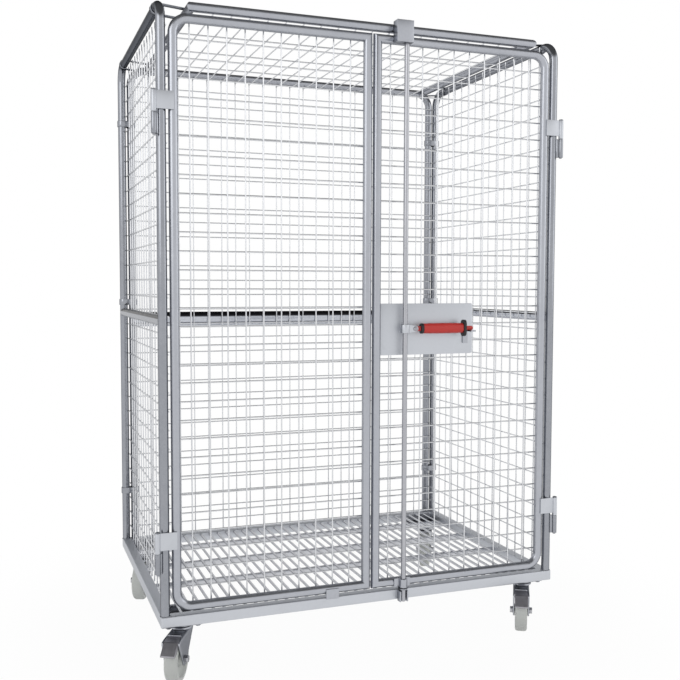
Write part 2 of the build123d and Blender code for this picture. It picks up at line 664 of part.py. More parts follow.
def handle_pin():
    """Headed pin through the ears and the lever."""
    half = LEVER_STEEL / 2 + LEVER_GAP + CLEVIS_STEEL
    shank = extrude(Plane.XZ * disc(X_HANDLE_PIN, Z_HANDLE, HANDLE_PIN), half, both=True)
    head = extrude(Plane.XZ * flats(X_HANDLE_PIN, Z_HANDLE, HANDLE_PIN_HEAD), HANDLE_PIN_CAP)
    return Pos(0, Y_BAR, 0) * (shank + Pos(0, -half, 0) * head + Pos(0, half + HANDLE_PIN_CAP, 0) * head)


def lever_outline():
    """Side of the lever, with a round eye at the pivot pin."""
    length = X_LEVER_TIP - X_HANDLE_PIN
    arm = Pos(X_HANDLE_PIN + length / 2, Z_HANDLE) * Rectangle(length, LEVER_HEIGHT)
    eye = flats(X_HANDLE_PIN, Z_HANDLE, LEVER_EYE)
    return arm + eye - flats(X_HANDLE_PIN, Z_HANDLE, HANDLE_PIN + 2 * RUNNING_FIT)


def handle_lever():
    """Flat lever in the clevis."""
    return Pos(0, Y_BAR, 0) * extrude(Plane.XZ * lever_outline(), LEVER_STEEL / 2, both=True)


def sleeve(start, length, depth, height, corner):
    """Rounded piece that is slid over the lever."""
    section = RectangleRounded(depth, height, corner) - Rectangle(LEVER_STEEL, LEVER_HEIGHT)
    return Pos(start, Y_BAR, Z_HANDLE) * extrude(Plane.YZ * section, length)


def handle_grip():
    """Grip on the lever."""
    return sleeve(X_GRIP, X_COLLAR - X_GRIP, GRIP_DEPTH, GRIP_HEIGHT, GRIP_ROUND)


def grip_collars():
    """Ring at the inner end of the grip and taller collar at its outer end."""
    ring = sleeve(X_GRIP - RING_LENGTH, RING_LENGTH, GRIP_DEPTH, GRIP_HEIGHT, GRIP_ROUND)
    collar = sleeve(X_COLLAR, COLLAR_LENGTH, COLLAR_DEPTH, COLLAR_HEIGHT, GRIP_ROUND)
    return group([ring, collar])


def fork(braked):
    """Pressed fork under the race, with legs that narrow to the axle."""
    outer = Pos(0, Z_FORK_TOP - WHEEL / 2) * Rectangle(2 * FORK_OUT, WHEEL)
    outer = chamfer(outer.vertices().group_by(Axis.Y)[-1], FORK_BEVEL)
    inner = Pos(0, Z_CROWN - WHEEL / 2) * Rectangle(2 * FORK_IN, WHEEL)
    inner = chamfer(inner.vertices().group_by(Axis.Y)[-1], FORK_BEVEL - FORK_STEEL)
    bent = extrude(Plane.XZ * (outer - inner), WHEEL, both=True)
    crown_middle = Pos((FORK_LEAD - TRAIL) / 2, Z_FORK_TOP - FORK_CROWN / 2)
    rounds = [crown_middle * Rectangle(FORK_LEAD + TRAIL, FORK_CROWN), flats(-TRAIL, Z_AXLE, 2 * FORK_EYE)]
    holes = flats(-TRAIL, Z_AXLE, AXLE)
    if braked:
        rounds.append(flats(PEDAL_Y, PEDAL_Z, PEDAL_BARREL))
        holes += flats(PEDAL_Y, PEDAL_Z, PEDAL_PIN + 2 * RUNNING_FIT)
    sides = extrude(Plane.YZ * (hull(*rounds) - holes), 2 * FORK_OUT, both=True)
    race = slab(flats(0, 0, RACE), Z_FORK_TOP, Z_FORK_TOP + RACE_HEIGHT / 2 - RACE_GAP)
    return (bent & sides) + race - slab(flats(0, 0, KING_PIN + 2 * RUNNING_FIT), Z_AXLE, Z_CASTER_PLATE)


def axle():
    """Axle bolt with its nut."""
    shank = Plane.YZ * disc(-TRAIL, Z_AXLE, AXLE)
    head = Plane.YZ * (Pos(-TRAIL, Z_AXLE) * hexagon(AXLE_HEX))
    bolt = extrude(shank, FORK_OUT, both=True)
    cap = Pos(FORK_OUT, 0, 0) * extrude(head, AXLE_HEAD)
    return bolt + cap + mirror(cap, Plane.YZ)


def wheel_disc(radius, half_width):
    """Round slice of a wheel about its axle, to one side of its middle."""
    return extrude(Plane.YZ * RegularPolygon(radius, WHEEL_SIDES), half_width)


def wheel():
    """Solid wheel with a bevelled tread, a thinner web and a hub."""
    bevel = (WHEEL_WIDTH - WHEEL_TREAD) / 2
    half = wheel_disc(WHEEL / 2, WHEEL_TREAD / 2)
    edge = Plane.YZ.offset(WHEEL_TREAD / 2) * RegularPolygon(WHEEL / 2, WHEEL_SIDES)
    rim = Plane.YZ.offset(WHEEL_WIDTH / 2) * RegularPolygon(WHEEL / 2 - bevel, WHEEL_SIDES)
    half += loft([edge, rim], ruled=True)
    half -= wheel_disc(WHEEL / 2 - WHEEL_RIM, WHEEL_WIDTH / 2) - wheel_disc(WHEEL / 2, WHEEL_WEB / 2)
    half += extrude(Plane.YZ * flats(0, 0, HUB), WHEEL_WIDTH / 2 + HUB_PROUD)
    bore = extrude(Plane.YZ * flats(0, 0, AXLE + 2 * RUNNING_FIT), WHEEL_WIDTH, both=True)
    return Pos(0, -TRAIL, Z_AXLE) * (half + mirror(half, Plane.YZ) - bore)


def pedal_shoe():
    """Middle of the brake shoe in the side view, and the diameter that stops it short of the tread."""
    slope = radians(180 + PEDAL_SLOPE)
    run = SHOE_REACH * cos(slope) - SHOE_DROP * sin(slope)
    rise = SHOE_REACH * sin(slope) + SHOE_DROP * cos(slope)
    travel = radians(PEDAL_TRAVEL)
    down_y = PEDAL_Y + run * cos(travel) - rise * sin(travel)
    down_z = PEDAL_Z + run * sin(travel) + rise * cos(travel)
    radius = hypot(down_y + TRAIL, down_z - Z_AXLE) - WHEEL / 2 - SHOE_GAP
    return PEDAL_Y + run, PEDAL_Z + rise, 2 * radius


def pedal():
    """Brake pedal over the tread, with its pivot pin."""
    slope = radians(180 + PEDAL_SLOPE)
    tip = (PEDAL_Y + PEDAL_LENGTH * cos(slope), PEDAL_Z + PEDAL_LENGTH * sin(slope))
    outline = hull(flats(PEDAL_Y, PEDAL_Z, PEDAL_BARREL), flats(*tip, PEDAL_TIP), flats(*pedal_shoe()))
    tread = extrude(Plane.YZ * outline, FORK_IN - PEDAL_SIDE_GAP, both=True)
    return tread + extrude(Plane.YZ * disc(PEDAL_Y, PEDAL_Z, PEDAL_PIN), FORK_OUT, both=True)


def caster_nodes():
    """Turning pieces of the four casters, by name."""
    nodes = {}
    for corner, (x, y) in caster_corners().items():
        braked = corner.startswith("front")
        place = Pos(x * X_CASTER, y * Y_CASTER, 0) * Rot(0, 0, SWIVEL[corner])
        nodes[f"{corner}_fork"] = place * fork(braked)
        nodes[f"{corner}_axle"] = place * axle()
        nodes[f"{corner}_wheel"] = place * wheel()
        if braked:
            nodes[f"{corner}_brake_pedal"] = place * pedal()
    return nodes


def both_sides(name, shape):
    """A left piece and its mirror image on the right."""
    return {f"left_{name}": shape, f"right_{name}": mirror(shape, Plane.YZ)}


def all_nodes():
    """Every piece of the container, by name, about the middle of the cage."""
    nodes = {"base_frame": base_frame(), "corner_plates": corner_plates(), "floor_wires": floor_wires()}
    nodes |= {"floor_cross_bars": floor_cross_bars()}
    nodes |= {"caster_plates": caster_plates(), "caster_bolts": caster_bolts()}
    nodes |= both_sides("side_frame", left_side_frame()) | both_sides("mid_rail", left_mid_rail())
    nodes |= both_sides("mesh", left_mesh()) | both_sides("hinge_lugs", left_hinge_lugs())
    nodes |= both_sides("hinge_leaves", left_hinge_leaves()) | {"hinge_pins": hinge_pins()}
    nodes |= {"back_frame": back_frame(), "back_mid_rail": back_mid_rail(), "back_mesh": back_mesh()}
    nodes |= {"roof_frame": roof_frame(), "roof_mesh": roof_mesh()}
    nodes |= {"panel_clamps": panel_clamps(), "roof_clamps": roof_clamps()}
    nodes |= both_sides("door_frame", left_door_frame()) | both_sides("door_mesh", left_door_mesh())
    nodes |= {"left_door_stop": left_door_stop(), "lock_plate": lock_plate(nodes["right_door_frame"])}
    nodes |= {"top_bar_guide": top_bar_guide(), "bottom_bar_guide": bottom_bar_guide()}
    nodes |= {"top_keeper": top_keeper(nodes["roof_frame"]), "bottom_keeper": bottom_keeper()}
    nodes |= {"lock_bar": lock_bar(), "top_cam": top_cam(), "bottom_cam": bottom_cam()}
    nodes |= {"handle_clevis": handle_clevis(), "handle_pin": handle_pin(), "handle_seat": handle_seat()}
    nodes |= {"handle_lever": handle_lever(), "handle_grip": handle_grip(), "grip_collars": grip_collars()}
    return nodes | caster_nodes()


NODES = all_nodes()
BOXES = [shape.bounding_box() for shape in NODES.values()]
CENTRE_Y = -(min(box.min.Y for box in BOXES) + max(box.max.Y for box in BOXES)) / 2

os.makedirs("parts", exist_ok=True)
for name, shape in NODES.items():
    export_step(Pos(0, CENTRE_Y, 0) * shape, f"parts/{name}.step")
print(f"{len(NODES)} nodes, moved {CENTRE_Y:.3f} mm in Y")
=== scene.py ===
import json
import logging
import math
from dataclasses import dataclass
from enum import Enum
from typing import Any, Iterable, Optional, Sequence

import bmesh
import bpy
from mathutils import Matrix, Vector


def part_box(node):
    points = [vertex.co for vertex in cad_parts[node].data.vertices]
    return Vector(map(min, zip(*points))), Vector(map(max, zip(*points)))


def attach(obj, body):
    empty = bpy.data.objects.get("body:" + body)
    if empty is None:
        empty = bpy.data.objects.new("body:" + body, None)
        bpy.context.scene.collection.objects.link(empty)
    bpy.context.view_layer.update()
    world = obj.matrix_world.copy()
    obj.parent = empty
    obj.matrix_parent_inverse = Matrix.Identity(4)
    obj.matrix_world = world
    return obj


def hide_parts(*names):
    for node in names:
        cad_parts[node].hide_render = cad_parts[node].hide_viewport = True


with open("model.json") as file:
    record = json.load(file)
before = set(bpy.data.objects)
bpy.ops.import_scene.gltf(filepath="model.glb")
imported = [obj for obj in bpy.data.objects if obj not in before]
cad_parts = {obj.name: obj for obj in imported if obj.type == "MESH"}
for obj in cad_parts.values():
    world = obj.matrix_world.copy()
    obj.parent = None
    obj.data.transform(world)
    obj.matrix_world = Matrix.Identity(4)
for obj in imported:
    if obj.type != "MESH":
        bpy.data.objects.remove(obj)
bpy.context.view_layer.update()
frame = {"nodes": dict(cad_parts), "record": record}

log = logging.getLogger("roll_container")

Place = tuple[float, float, float]
Colour = tuple[float, float, float]
Point = tuple[float, float]
Outline = Sequence[Point]
Vertex = bmesh.types.BMVert

TUBE = 0.025
MESH_WIRE = 0.004
MESH_PITCH = 0.050
FLOOR_WIRE = 0.008
FLOOR_PITCH = 0.030
RACE = 0.030
RACE_ROUND = 0.003
RING_SIDES = 28
RING_STEPS = 12
NEARLY_NONE = 1e-6
QUARTER = math.pi / 2
TO_RIGHT = Matrix(((0, 0, 1, 0), (1, 0, 0, 0), (0, 1, 0, 0), (0, 0, 0, 1)))


class Side(Enum):
    """Side of the container, with the sign of its x."""

    LEFT = -1
    RIGHT = 1

    @property
    def label(self) -> str:
        """Name as it stands in the nodes."""
        return self.name.lower()


class Corner(Enum):
    """Corner that a caster stands under."""

    FRONT_LEFT = "front_left"
    FRONT_RIGHT = "front_right"
    REAR_LEFT = "rear_left"
    REAR_RIGHT = "rear_right"

    @property
    def braked(self) -> bool:
        """The front casters have pedals."""
        return self.value.startswith("front")


class Level(Enum):
    """Plane that a frame or a panel lies in, by its axes across and up."""

    SIDE = (1, 2)
    FRONT = (0, 2)
    ROOF = (0, 1)

    @property
    def through(self) -> int:
        """Axis that goes through the plane."""
        return 3 - sum(self.value)

    def point(self, across: float, up: float, through: float) -> Place:
        """Place from distances across, up and through the plane."""
        spans = dict(zip((*self.value, self.through), (across, up, through)))
        return spans[0], spans[1], spans[2]


class Corners(Enum):
    """Which corners of a tube ring are bent, from the lower left one round by the upper left one."""

    MITRED = (False, False, False, False)
    BENT_LEFT = (True, True, False, False)
    BENT_RIGHT = (False, False, True, True)


@dataclass(frozen=True)
class Room:
    """Space that a node of the frame takes up."""

    low: Vector
    high: Vector

    @classmethod
    def of(cls, node: str) -> "Room":
        """Space of one node, by name."""
        low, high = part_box(node)
        return cls(Vector(low), Vector(high))

    @property
    def middle(self) -> Vector:
        """Middle of the space."""
        return (self.low + self.high) / 2

    @property
    def size(self) -> Vector:
        """Lengths along x, y and z."""
        return self.high - self.low


def joint_place(name: str) -> Vector:
    """Place of a joint of the frame, by name."""
    joints = frame["record"]["behaviour"]["joints"]
    return Vector(next(joint["pos_m"] for joint in joints if joint["name"] == name))


def spread(low: float, high: float, pitch: float, wire: float) -> tuple[int, float]:
    """Share out wires at a pitch, in the middle of a gap.

    Args:
        low: Lower edge of the gap.
        high: Upper edge of the gap.
        pitch: Distance from wire to wire.
        wire: Diameter of a wire.

    Returns:
        Number of wires and the place of the first.
    """
    count = int((high - low - wire + NEARLY_NONE) // pitch)
    return count, (low + high - (count - 1) * pitch) / 2


def turns(steps: int) -> list[float]:
    """Angles of equal steps round a circle."""
    return [2 * math.pi * i / steps for i in range(steps)]


def circle(x: float, y: float, radius: float, steps: int = 32) -> list[Point]:
    """Points round a circle in a flat drawing, anticlockwise."""
    return [(x + radius * math.cos(turn), y + radius * math.sin(turn)) for turn in turns(steps)]


def hull(points: Outline) -> list[Point]:
    """Convex outline round points in a flat drawing.

    Args:
        points: Points in any order.

    Returns:
        The corners of the outline, anticlockwise.
    """
    def half(run: Iterable[Point]) -> list[Point]:
        """One side of the outline.

        Args:
            run: Sorted points.

        Returns:
            The corners of that side, less the last.
        """
        kept: list[Point] = []
        for x, y in run:
            while len(kept) > 1:
                (ax, ay), (bx, by) = kept[-2], kept[-1]
                if (bx - ax) * (y - ay) - (by - ay) * (x - ax) > NEARLY_NONE ** 2:
                    break
                kept.pop()
            kept.append((x, y))
        return kept[:-1]

    ordered = sorted(set(points))
    return half(ordered) + half(reversed(ordered))


def rounded(width: float, height: float, corner: float, steps: int = 6) -> list[Point]:
    """Rectangle with round corners about the origin of a flat drawing.

    Args:
        width: Full width.
        height: Full height.
        corner: Radius of the corners.
        steps: Points along each corner, less one.

    Returns:
        The points, anticlockwise.
    """
    points = []
    for quarter, (x, y) in enumerate(((1, 1), (-1, 1), (-1, -1), (1, -1))):
        for i in range(steps + 1):
            turn = QUARTER * (quarter + i / steps)
            across = x * (width / 2 - corner) + corner * math.cos(turn)
            points.append((across, y * (height / 2 - corner) + corner * math.sin(turn)))
    return points


class NodeSheet:
    """Tree of nodes, built node by node."""

    def __init__(self, tree: bpy.types.NodeTree) -> None:
        """Work on a tree."""
        self.tree = tree

    def add(self, kind: str, inputs: Optional[dict[Any, Any]] = None, **settings: Any) -> Any:
        """Add a node and feed it.

        Args:
            kind: Type of the node.
            inputs: Value or output socket for each input, by name or number.
            **settings: Properties of the node.

        Returns:
            The outputs of the node.
        """
        node = self.tree.nodes.new(kind)
        for label, value in settings.items():
            setattr(node, label, value)
        for label, value in (inputs or {}).items():
            if isinstance(value, bpy.types.NodeSocket):
                self.tree.links.new(value, node.inputs[label])
            else:
                node.inputs[label].default_value = value
        return node.outputs

    def compute(self, operation: str, *values: Any) -> Any:
        """Result of one sum with numbers or sockets."""
        return self.add("ShaderNodeMath", dict(enumerate(values)), operation=operation)["Value"]

    def ramp(self, value: Any, start: Point, end: Point, easing: str = "LINEAR") -> Any:
        """Value carried over from one span to another."""
        spans = {"From Min": start[0], "From Max": start[1], "To Min": end[0], "To Max": end[1]}
        return self.add("ShaderNodeMapRange", {"Value": value} | spans, interpolation_type=easing)["Result"]

    def noise(self, place: Any, scale: Any, detail: float, **inputs: float) -> Any:
        """Cloudy pattern at a place."""
        shape = {"Vector": place, "Scale": scale, "Detail": detail} | inputs
        return self.add("ShaderNodeTexNoise", shape)["Fac"]


class NodeGroup(NodeSheet):
    """Node group with named inputs and outputs."""

    def __init__(self, name: str, kind: str, inputs: dict[str, str], outputs: dict[str, str]) -> None:
        """Start an empty group.

        Args:
            name: Name of the group.
            kind: GeometryNodeTree or ShaderNodeTree.
            inputs: Kind of socket of each named input.
            outputs: Kind of socket of each named output.
        """
        super().__init__(bpy.data.node_groups.new(name, kind))
        for in_out, sockets in (("INPUT", inputs), ("OUTPUT", outputs)):
            for label, socket in sockets.items():
                self.tree.interface.new_socket(name=label, in_out=in_out, socket_type=f"NodeSocket{socket}")
        self.entry = self.tree.nodes.new("NodeGroupInput").outputs
        self.exit = self.tree.nodes.new("NodeGroupOutput").inputs

    def give(self, **sockets: Any) -> bpy.types.NodeTree:
        """End the group.

        Args:
            **sockets: Socket for each named output.

        Returns:
            The finished group.
        """
        for label, socket in sockets.items():
            self.tree.links.new(socket, self.exit[label])
        return self.tree


class GrowthTree(NodeGroup):
    """Geometry tree that takes a material and puts out geometry."""

    def __init__(self, name: str, inputs: dict[str, str]) -> None:
        """Start the tree with its named inputs."""
        inputs = inputs | {"Material": "Material"}
        super().__init__(name, "GeometryNodeTree", inputs, {"Geometry": "Geometry"})

    def rod(self, path: Any, radius: Any, sides: Any) -> Any:
        """Round bar along a path.

        Args:
            path: Curve that it follows.
            radius: Its radius.
            sides: Faces round it.

        Returns:
            Mesh of the bar.
        """
        section = self.add("GeometryNodeCurvePrimitiveCircle", {"Resolution": sides, "Radius": radius})
        skin = {"Curve": path, "Profile Curve": section["Curve"], "Fill Caps": True}
        return self.add("GeometryNodeCurveToMesh", skin)["Mesh"]

    def line(self, count: Any, step: Any, first: Any = (0.0, 0.0, 0.0)) -> Any:
        """Points in a row."""
        row = {"Count": count, "Offset": step, "Start Location": first}
        return self.add("GeometryNodeMeshLine", row)["Mesh"]

    def ball(self, radius: Any, splits: int) -> Any:
        """Small ball of triangles."""
        return self.add("GeometryNodeMeshIcoSphere", {"Radius": radius, "Subdivisions": splits})["Mesh"]

    def cone(self, sides: int, bottom: Any, top: Any, height: Any) -> Any:
        """Tapered block with several sides."""
        shape = {"Vertices": sides, "Radius Bottom": bottom, "Radius Top": top, "Depth": height}
        return self.add("GeometryNodeMeshCone", shape)["Mesh"]

    def repeat(self, points: Any, piece: Any, **inputs: Any) -> Any:
        """A piece at every point."""
        inputs = {"Points": points, "Instance": piece} | inputs
        return self.add("GeometryNodeInstanceOnPoints", inputs)["Instances"]

    def join(self, *parts: Any) -> Any:
        """Several geometries as one.

        Args:
            *parts: The geometries.

        Returns:
            The joined geometry.
        """
        whole = self.add("GeometryNodeJoinGeometry")["Geometry"]
        for part in parts:
            self.tree.links.new(part, whole.node.inputs["Geometry"])
        return whole

    def close(self, geometry: Any) -> bpy.types.NodeTree:
        """End the tree: realise what is repeated and give it its material.

        Args:
            geometry: What the tree has made.

        Returns:
            The finished tree.
        """
        solid = self.add("GeometryNodeRealizeInstances", {"Geometry": geometry})["Geometry"]
        dress = {"Geometry": solid, "Material": self.entry["Material"]}
        return self.give(Geometry=self.add("GeometryNodeSetMaterial", dress)["Geometry"])


class GrowthTrees:
    """Geometry trees for what repeats or follows a path."""

    def __init__(self) -> None:
        """Build every tree once."""
        self.bent_tube = self._bent_tube()
        self.wire_panel = self._wire_panel()
        self.bolts = self._bolts()
        self.weld_rings = self._weld_rings()

    @staticmethod
    def _bent_tube() -> bpy.types.NodeTree:
        """Round tube along a line of corners, each with a bend.

        Returns:
            The finished tree.
        """
        tree = GrowthTree("bent_tube", {
            "Geometry": "Geometry", "Radius": "Float", "Bend": "Float", "Bend Steps": "Int", "Sides": "Int"})
        take = tree.entry
        line = tree.add("GeometryNodeMeshToCurve", {"Mesh": take["Geometry"]})["Curve"]
        bends = {"Curve": line, "Count": take["Bend Steps"], "Radius": take["Bend"]}
        path = tree.add("GeometryNodeFilletCurve", bends, mode="POLY")["Curve"]
        return tree.close(tree.rod(path, take["Radius"], take["Sides"]))

    @staticmethod
    def _wire_panel() -> bpy.types.NodeTree:
        """Two layers of crossed wires with a weld at each crossing.

        Returns:
            The finished tree.
        """
        places = [f"{layer} {end}" for layer in ("Row", "Column") for end in ("First", "Step", "Run")]
        counts = ("Rows", "Columns", "Weld Rows", "Sides")
        tree = GrowthTree("wire_panel", dict.fromkeys((*places, "Weld First"), "Vector")
                          | dict.fromkeys(counts, "Int") | {"Wire": "Float", "Weld": "Float"})
        take = tree.entry
        layers = []
        for layer in ("Row", "Column"):
            run = tree.add("GeometryNodeCurvePrimitiveLine", {"End": take[f"{layer} Run"]})["Curve"]
            starts = tree.line(take[f"{layer}s"], take[f"{layer} Step"], take[f"{layer} First"])
            layers.append(tree.repeat(starts, tree.rod(run, take["Wire"], take["Sides"])))
        down = tree.line(take["Weld Rows"], take["Row Step"])
        across = tree.line(take["Columns"], take["Column Step"], take["Weld First"])
        grid = tree.repeat(across, down)
        crossings = tree.add("GeometryNodeRealizeInstances", {"Geometry": grid})["Geometry"]
        nuggets = tree.repeat(crossings, tree.ball(take["Weld"], 1))
        return tree.close(tree.join(*layers, nuggets))

    @staticmethod
    def _bolts() -> bpy.types.NodeTree:
        """Hexagon head with a crowned top and a washer, at each point.

        Returns:
            The finished tree.
        """
        tree = GrowthTree("hexagon_bolts", {
            "Geometry": "Geometry", "Corner": "Float", "Height": "Float", "Washer": "Float",
            "Washer Height": "Float", "Turn": "Rotation"})
        take = tree.entry
        corner, washer = take["Corner"], take["Washer"]
        body_share, crown_share, crown_taper = 0.8, 0.2, 0.86
        body = tree.compute("MULTIPLY", take["Height"], body_share)
        crown = tree.compute("MULTIPLY", take["Height"], crown_share)
        dome = tree.cone(6, corner, tree.compute("MULTIPLY", corner, crown_taper), crown)
        lift = tree.add("ShaderNodeCombineXYZ", {"Z": body})["Vector"]
        raised = tree.add("GeometryNodeTransform", {"Geometry": dome, "Translation": lift})["Geometry"]
        ring = tree.cone(20, washer, washer, take["Washer Height"])
        whole = tree.join(tree.cone(6, corner, corner, body), raised, ring)
        return tree.close(tree.repeat(take["Geometry"], whole, Rotation=take["Turn"]))

    @staticmethod
    def _weld_rings() -> bpy.types.NodeTree:
        """Ring of uneven weld beads round each point.

        Returns:
            The finished tree.
        """
        tree = GrowthTree("weld_rings", {
            "Geometry": "Geometry", "Radius": "Float", "Bead": "Float", "Count": "Int", "Turn": "Rotation",
            "Seed": "Int"})
        take = tree.entry
        ring = tree.add("GeometryNodeMeshCircle", {"Vertices": take["Count"], "Radius": take["Radius"]})
        smallest, largest = (0.8, 0.8, 0.7), (1.25, 1.25, 1.1)
        sizes = {0: smallest, 1: largest, "Seed": take["Seed"]}
        scale = tree.add("FunctionNodeRandomValue", sizes, data_type="FLOAT_VECTOR")["Value"]
        beads = tree.repeat(ring["Mesh"], tree.ball(take["Bead"], 2), Scale=scale)
        return tree.close(tree.repeat(take["Geometry"], beads, Rotation=take["Turn"]))


def bare_mesh(name: str, points: Sequence[Vector], linked: bool) -> bpy.types.Mesh:
    """Mesh of bare points, for a tree to fill or follow.

    Args:
        name: Name of the mesh.
        points: The points.
        linked: Whether a line joins them in order.

    Returns:
        The points or the line.
    """
    mesh = bpy.data.meshes.new(f"{name}_start")
    edges = [(i, i + 1) for i in range(len(points) - 1)] if linked else []
    mesh.from_pydata([tuple(point) for point in points], edges, [])
    return mesh


def kept_mesh(name: str, holder: bpy.types.Object) -> bpy.types.Mesh:
    """Keep what an object's modifiers make as a plain mesh.

    Args:
        name: Name of the mesh.
        holder: The object, which is used up.

    Returns:
        The mesh.
    """
    mesh = bpy.data.meshes.new_from_object(holder.evaluated_get(bpy.context.evaluated_depsgraph_get()))
    mesh.name = name
    bpy.data.objects.remove(holder)
    return mesh


def linked_object(name: str, data: Any) -> bpy.types.Object:
    """Object in the scene that holds a mesh, a lamp or a camera.

    Args:
        name: Name of the object.
        data: The mesh, the lamp or the camera.

    Returns:
        The object.
    """
    holder = bpy.data.objects.new(name, data)
    bpy.context.collection.objects.link(holder)
    return holder


def grow(name: str, tree: bpy.types.NodeTree, inputs: dict[str, Any], start: Optional[bpy.types.Mesh] = None
         ) -> bpy.types.Mesh:
    """Run a tree and keep what it makes as a plain mesh.

    Args:
        name: Name of the mesh.
        tree: The tree to run.
        inputs: Value of each named input.
        start: Points or lines that the tree follows.

    Returns:
        The mesh, with the material that the tree set.
    """
    holder = linked_object(f"{name}_start", start or bare_mesh(name, [], False))
    modifier = holder.modifiers.new("growth", "NODES")
    modifier.node_group = tree
    sockets = {item.name: item.identifier for item in tree.interface.items_tree if item.in_out == "INPUT"}
    for label, value in inputs.items():
        modifier[sockets[label]] = value
    return kept_mesh(name, holder)


class ShaderEffects:
    """Surface effects that several finishes share."""

    def __init__(self) -> None:
        """Build every effect once."""
        self.spangle = self._spangle()
        self.scuffs = self._scuffs()
        self.grain = self._grain()
        self.floor_dust = self._floor_dust()

    @staticmethod
    def _group(name: str, inputs: Sequence[str], outputs: Sequence[str]) -> NodeGroup:
        """Start an effect that reads a place and some numbers."""
        inputs = {"Vector": "Vector"} | dict.fromkeys(inputs, "Float")
        return NodeGroup(name, "ShaderNodeTree", inputs, dict.fromkeys(outputs, "Float"))

    def _spangle(self) -> bpy.types.NodeTree:
        """Patchy crystals and soft streaks of a zinc coat.

        Returns:
            The finished effect.
        """
        group = self._group("zinc_spangle", ["Scale"], ["Mask", "Height"])
        place = group.entry["Vector"]
        crystals = {"Vector": place, "Scale": group.entry["Scale"], "Randomness": 1.0}
        grey = group.add("ShaderNodeRGBToBW", {"Color": group.add("ShaderNodeTexVoronoi", crystals)["Color"]})
        cloud = group.noise(place, 9.0, 4.0, Roughness=0.6)
        mixed = group.compute("MULTIPLY_ADD", grey["Val"], 0.35, cloud)
        mask = group.ramp(mixed, (0.35, 1.0), (0.0, 1.0))
        return group.give(Mask=mask, Height=group.noise(place, 420.0, 3.0))

    def _scuffs(self) -> bpy.types.NodeTree:
        """Thin rubbed marks from handling.

        Returns:
            The finished effect.
        """
        group = self._group("scuffs", ["Scale", "Share"], ["Mask"])
        warp = group.noise(group.entry["Vector"], group.entry["Scale"], 6.0, Roughness=0.75, Distortion=1.4)
        start = group.compute("SUBTRACT", 1.0, group.entry["Share"])
        return group.give(Mask=group.ramp(warp, (start, 0.95), (0.0, 1.0)))

    def _grain(self) -> bpy.types.NodeTree:
        """Fine moulded grain.

        Returns:
            The finished effect.
        """
        group = self._group("moulded_grain", ["Scale"], ["Height", "Mask"])
        place = group.entry["Vector"]
        fine = group.add("ShaderNodeTexVoronoi", {"Vector": place, "Scale": group.entry["Scale"]})["Distance"]
        return group.give(Height=fine, Mask=group.noise(place, 30.0, 5.0, Roughness=0.65))

    def _floor_dust(self) -> bpy.types.NodeTree:
        """Dust that thins out with height above the floor.

        Returns:
            The finished effect.
        """
        group = self._group("floor_dust", ["Reach", "Amount"], ["Mask"])
        place = group.entry["Vector"]
        height = group.add("ShaderNodeSeparateXYZ", {"Vector": place})["Z"]
        fade = group.ramp(height, (0.0, group.entry["Reach"]), (1.0, 0.0))
        patch = group.compute("MULTIPLY", fade, group.noise(place, 22.0, 5.0))
        return group.give(Mask=group.compute("MULTIPLY", patch, group.entry["Amount"]))


class Coat(NodeSheet):
    """Nodes of one material, round its shader."""

    def __init__(self, name: str) -> None:
        """Start a material that reads the coordinates of its piece.

        Args:
            name: Name of the material.
        """
        self.material = bpy.data.materials.new(name)
        self.material.use_nodes = True
        super().__init__(self.material.node_tree)
        self.shader = self.tree.nodes["Principled BSDF"].inputs
        self.place = self.add("ShaderNodeTexCoord")["Object"]

    def feed(self, label: str, socket: Any) -> None:
        """Link a socket to an input of the shader."""
        self.tree.links.new(socket, self.shader[label])

    def effect(self, group: bpy.types.NodeTree, **values: float) -> Any:
        """Put in a shared effect and set its numbers."""
        return self.add("ShaderNodeGroup", {"Vector": self.place} | values, node_tree=group)

    def blend(self, mask: Any, first: Any, second: Any) -> Any:
        """Colour between two others by a mask.

        Args:
            mask: Share of the second colour.
            first: Socket or plain colour.
            second: Socket or plain colour.

        Returns:
            Socket of the mixed colour.
        """
        inputs = {"Factor": mask, 6: first, 7: second}
        for label, colour in inputs.items():
            if isinstance(colour, tuple):
                inputs[label] = (*colour, 1.0)
        return self.add("ShaderNodeMix", inputs, data_type="RGBA")[2]


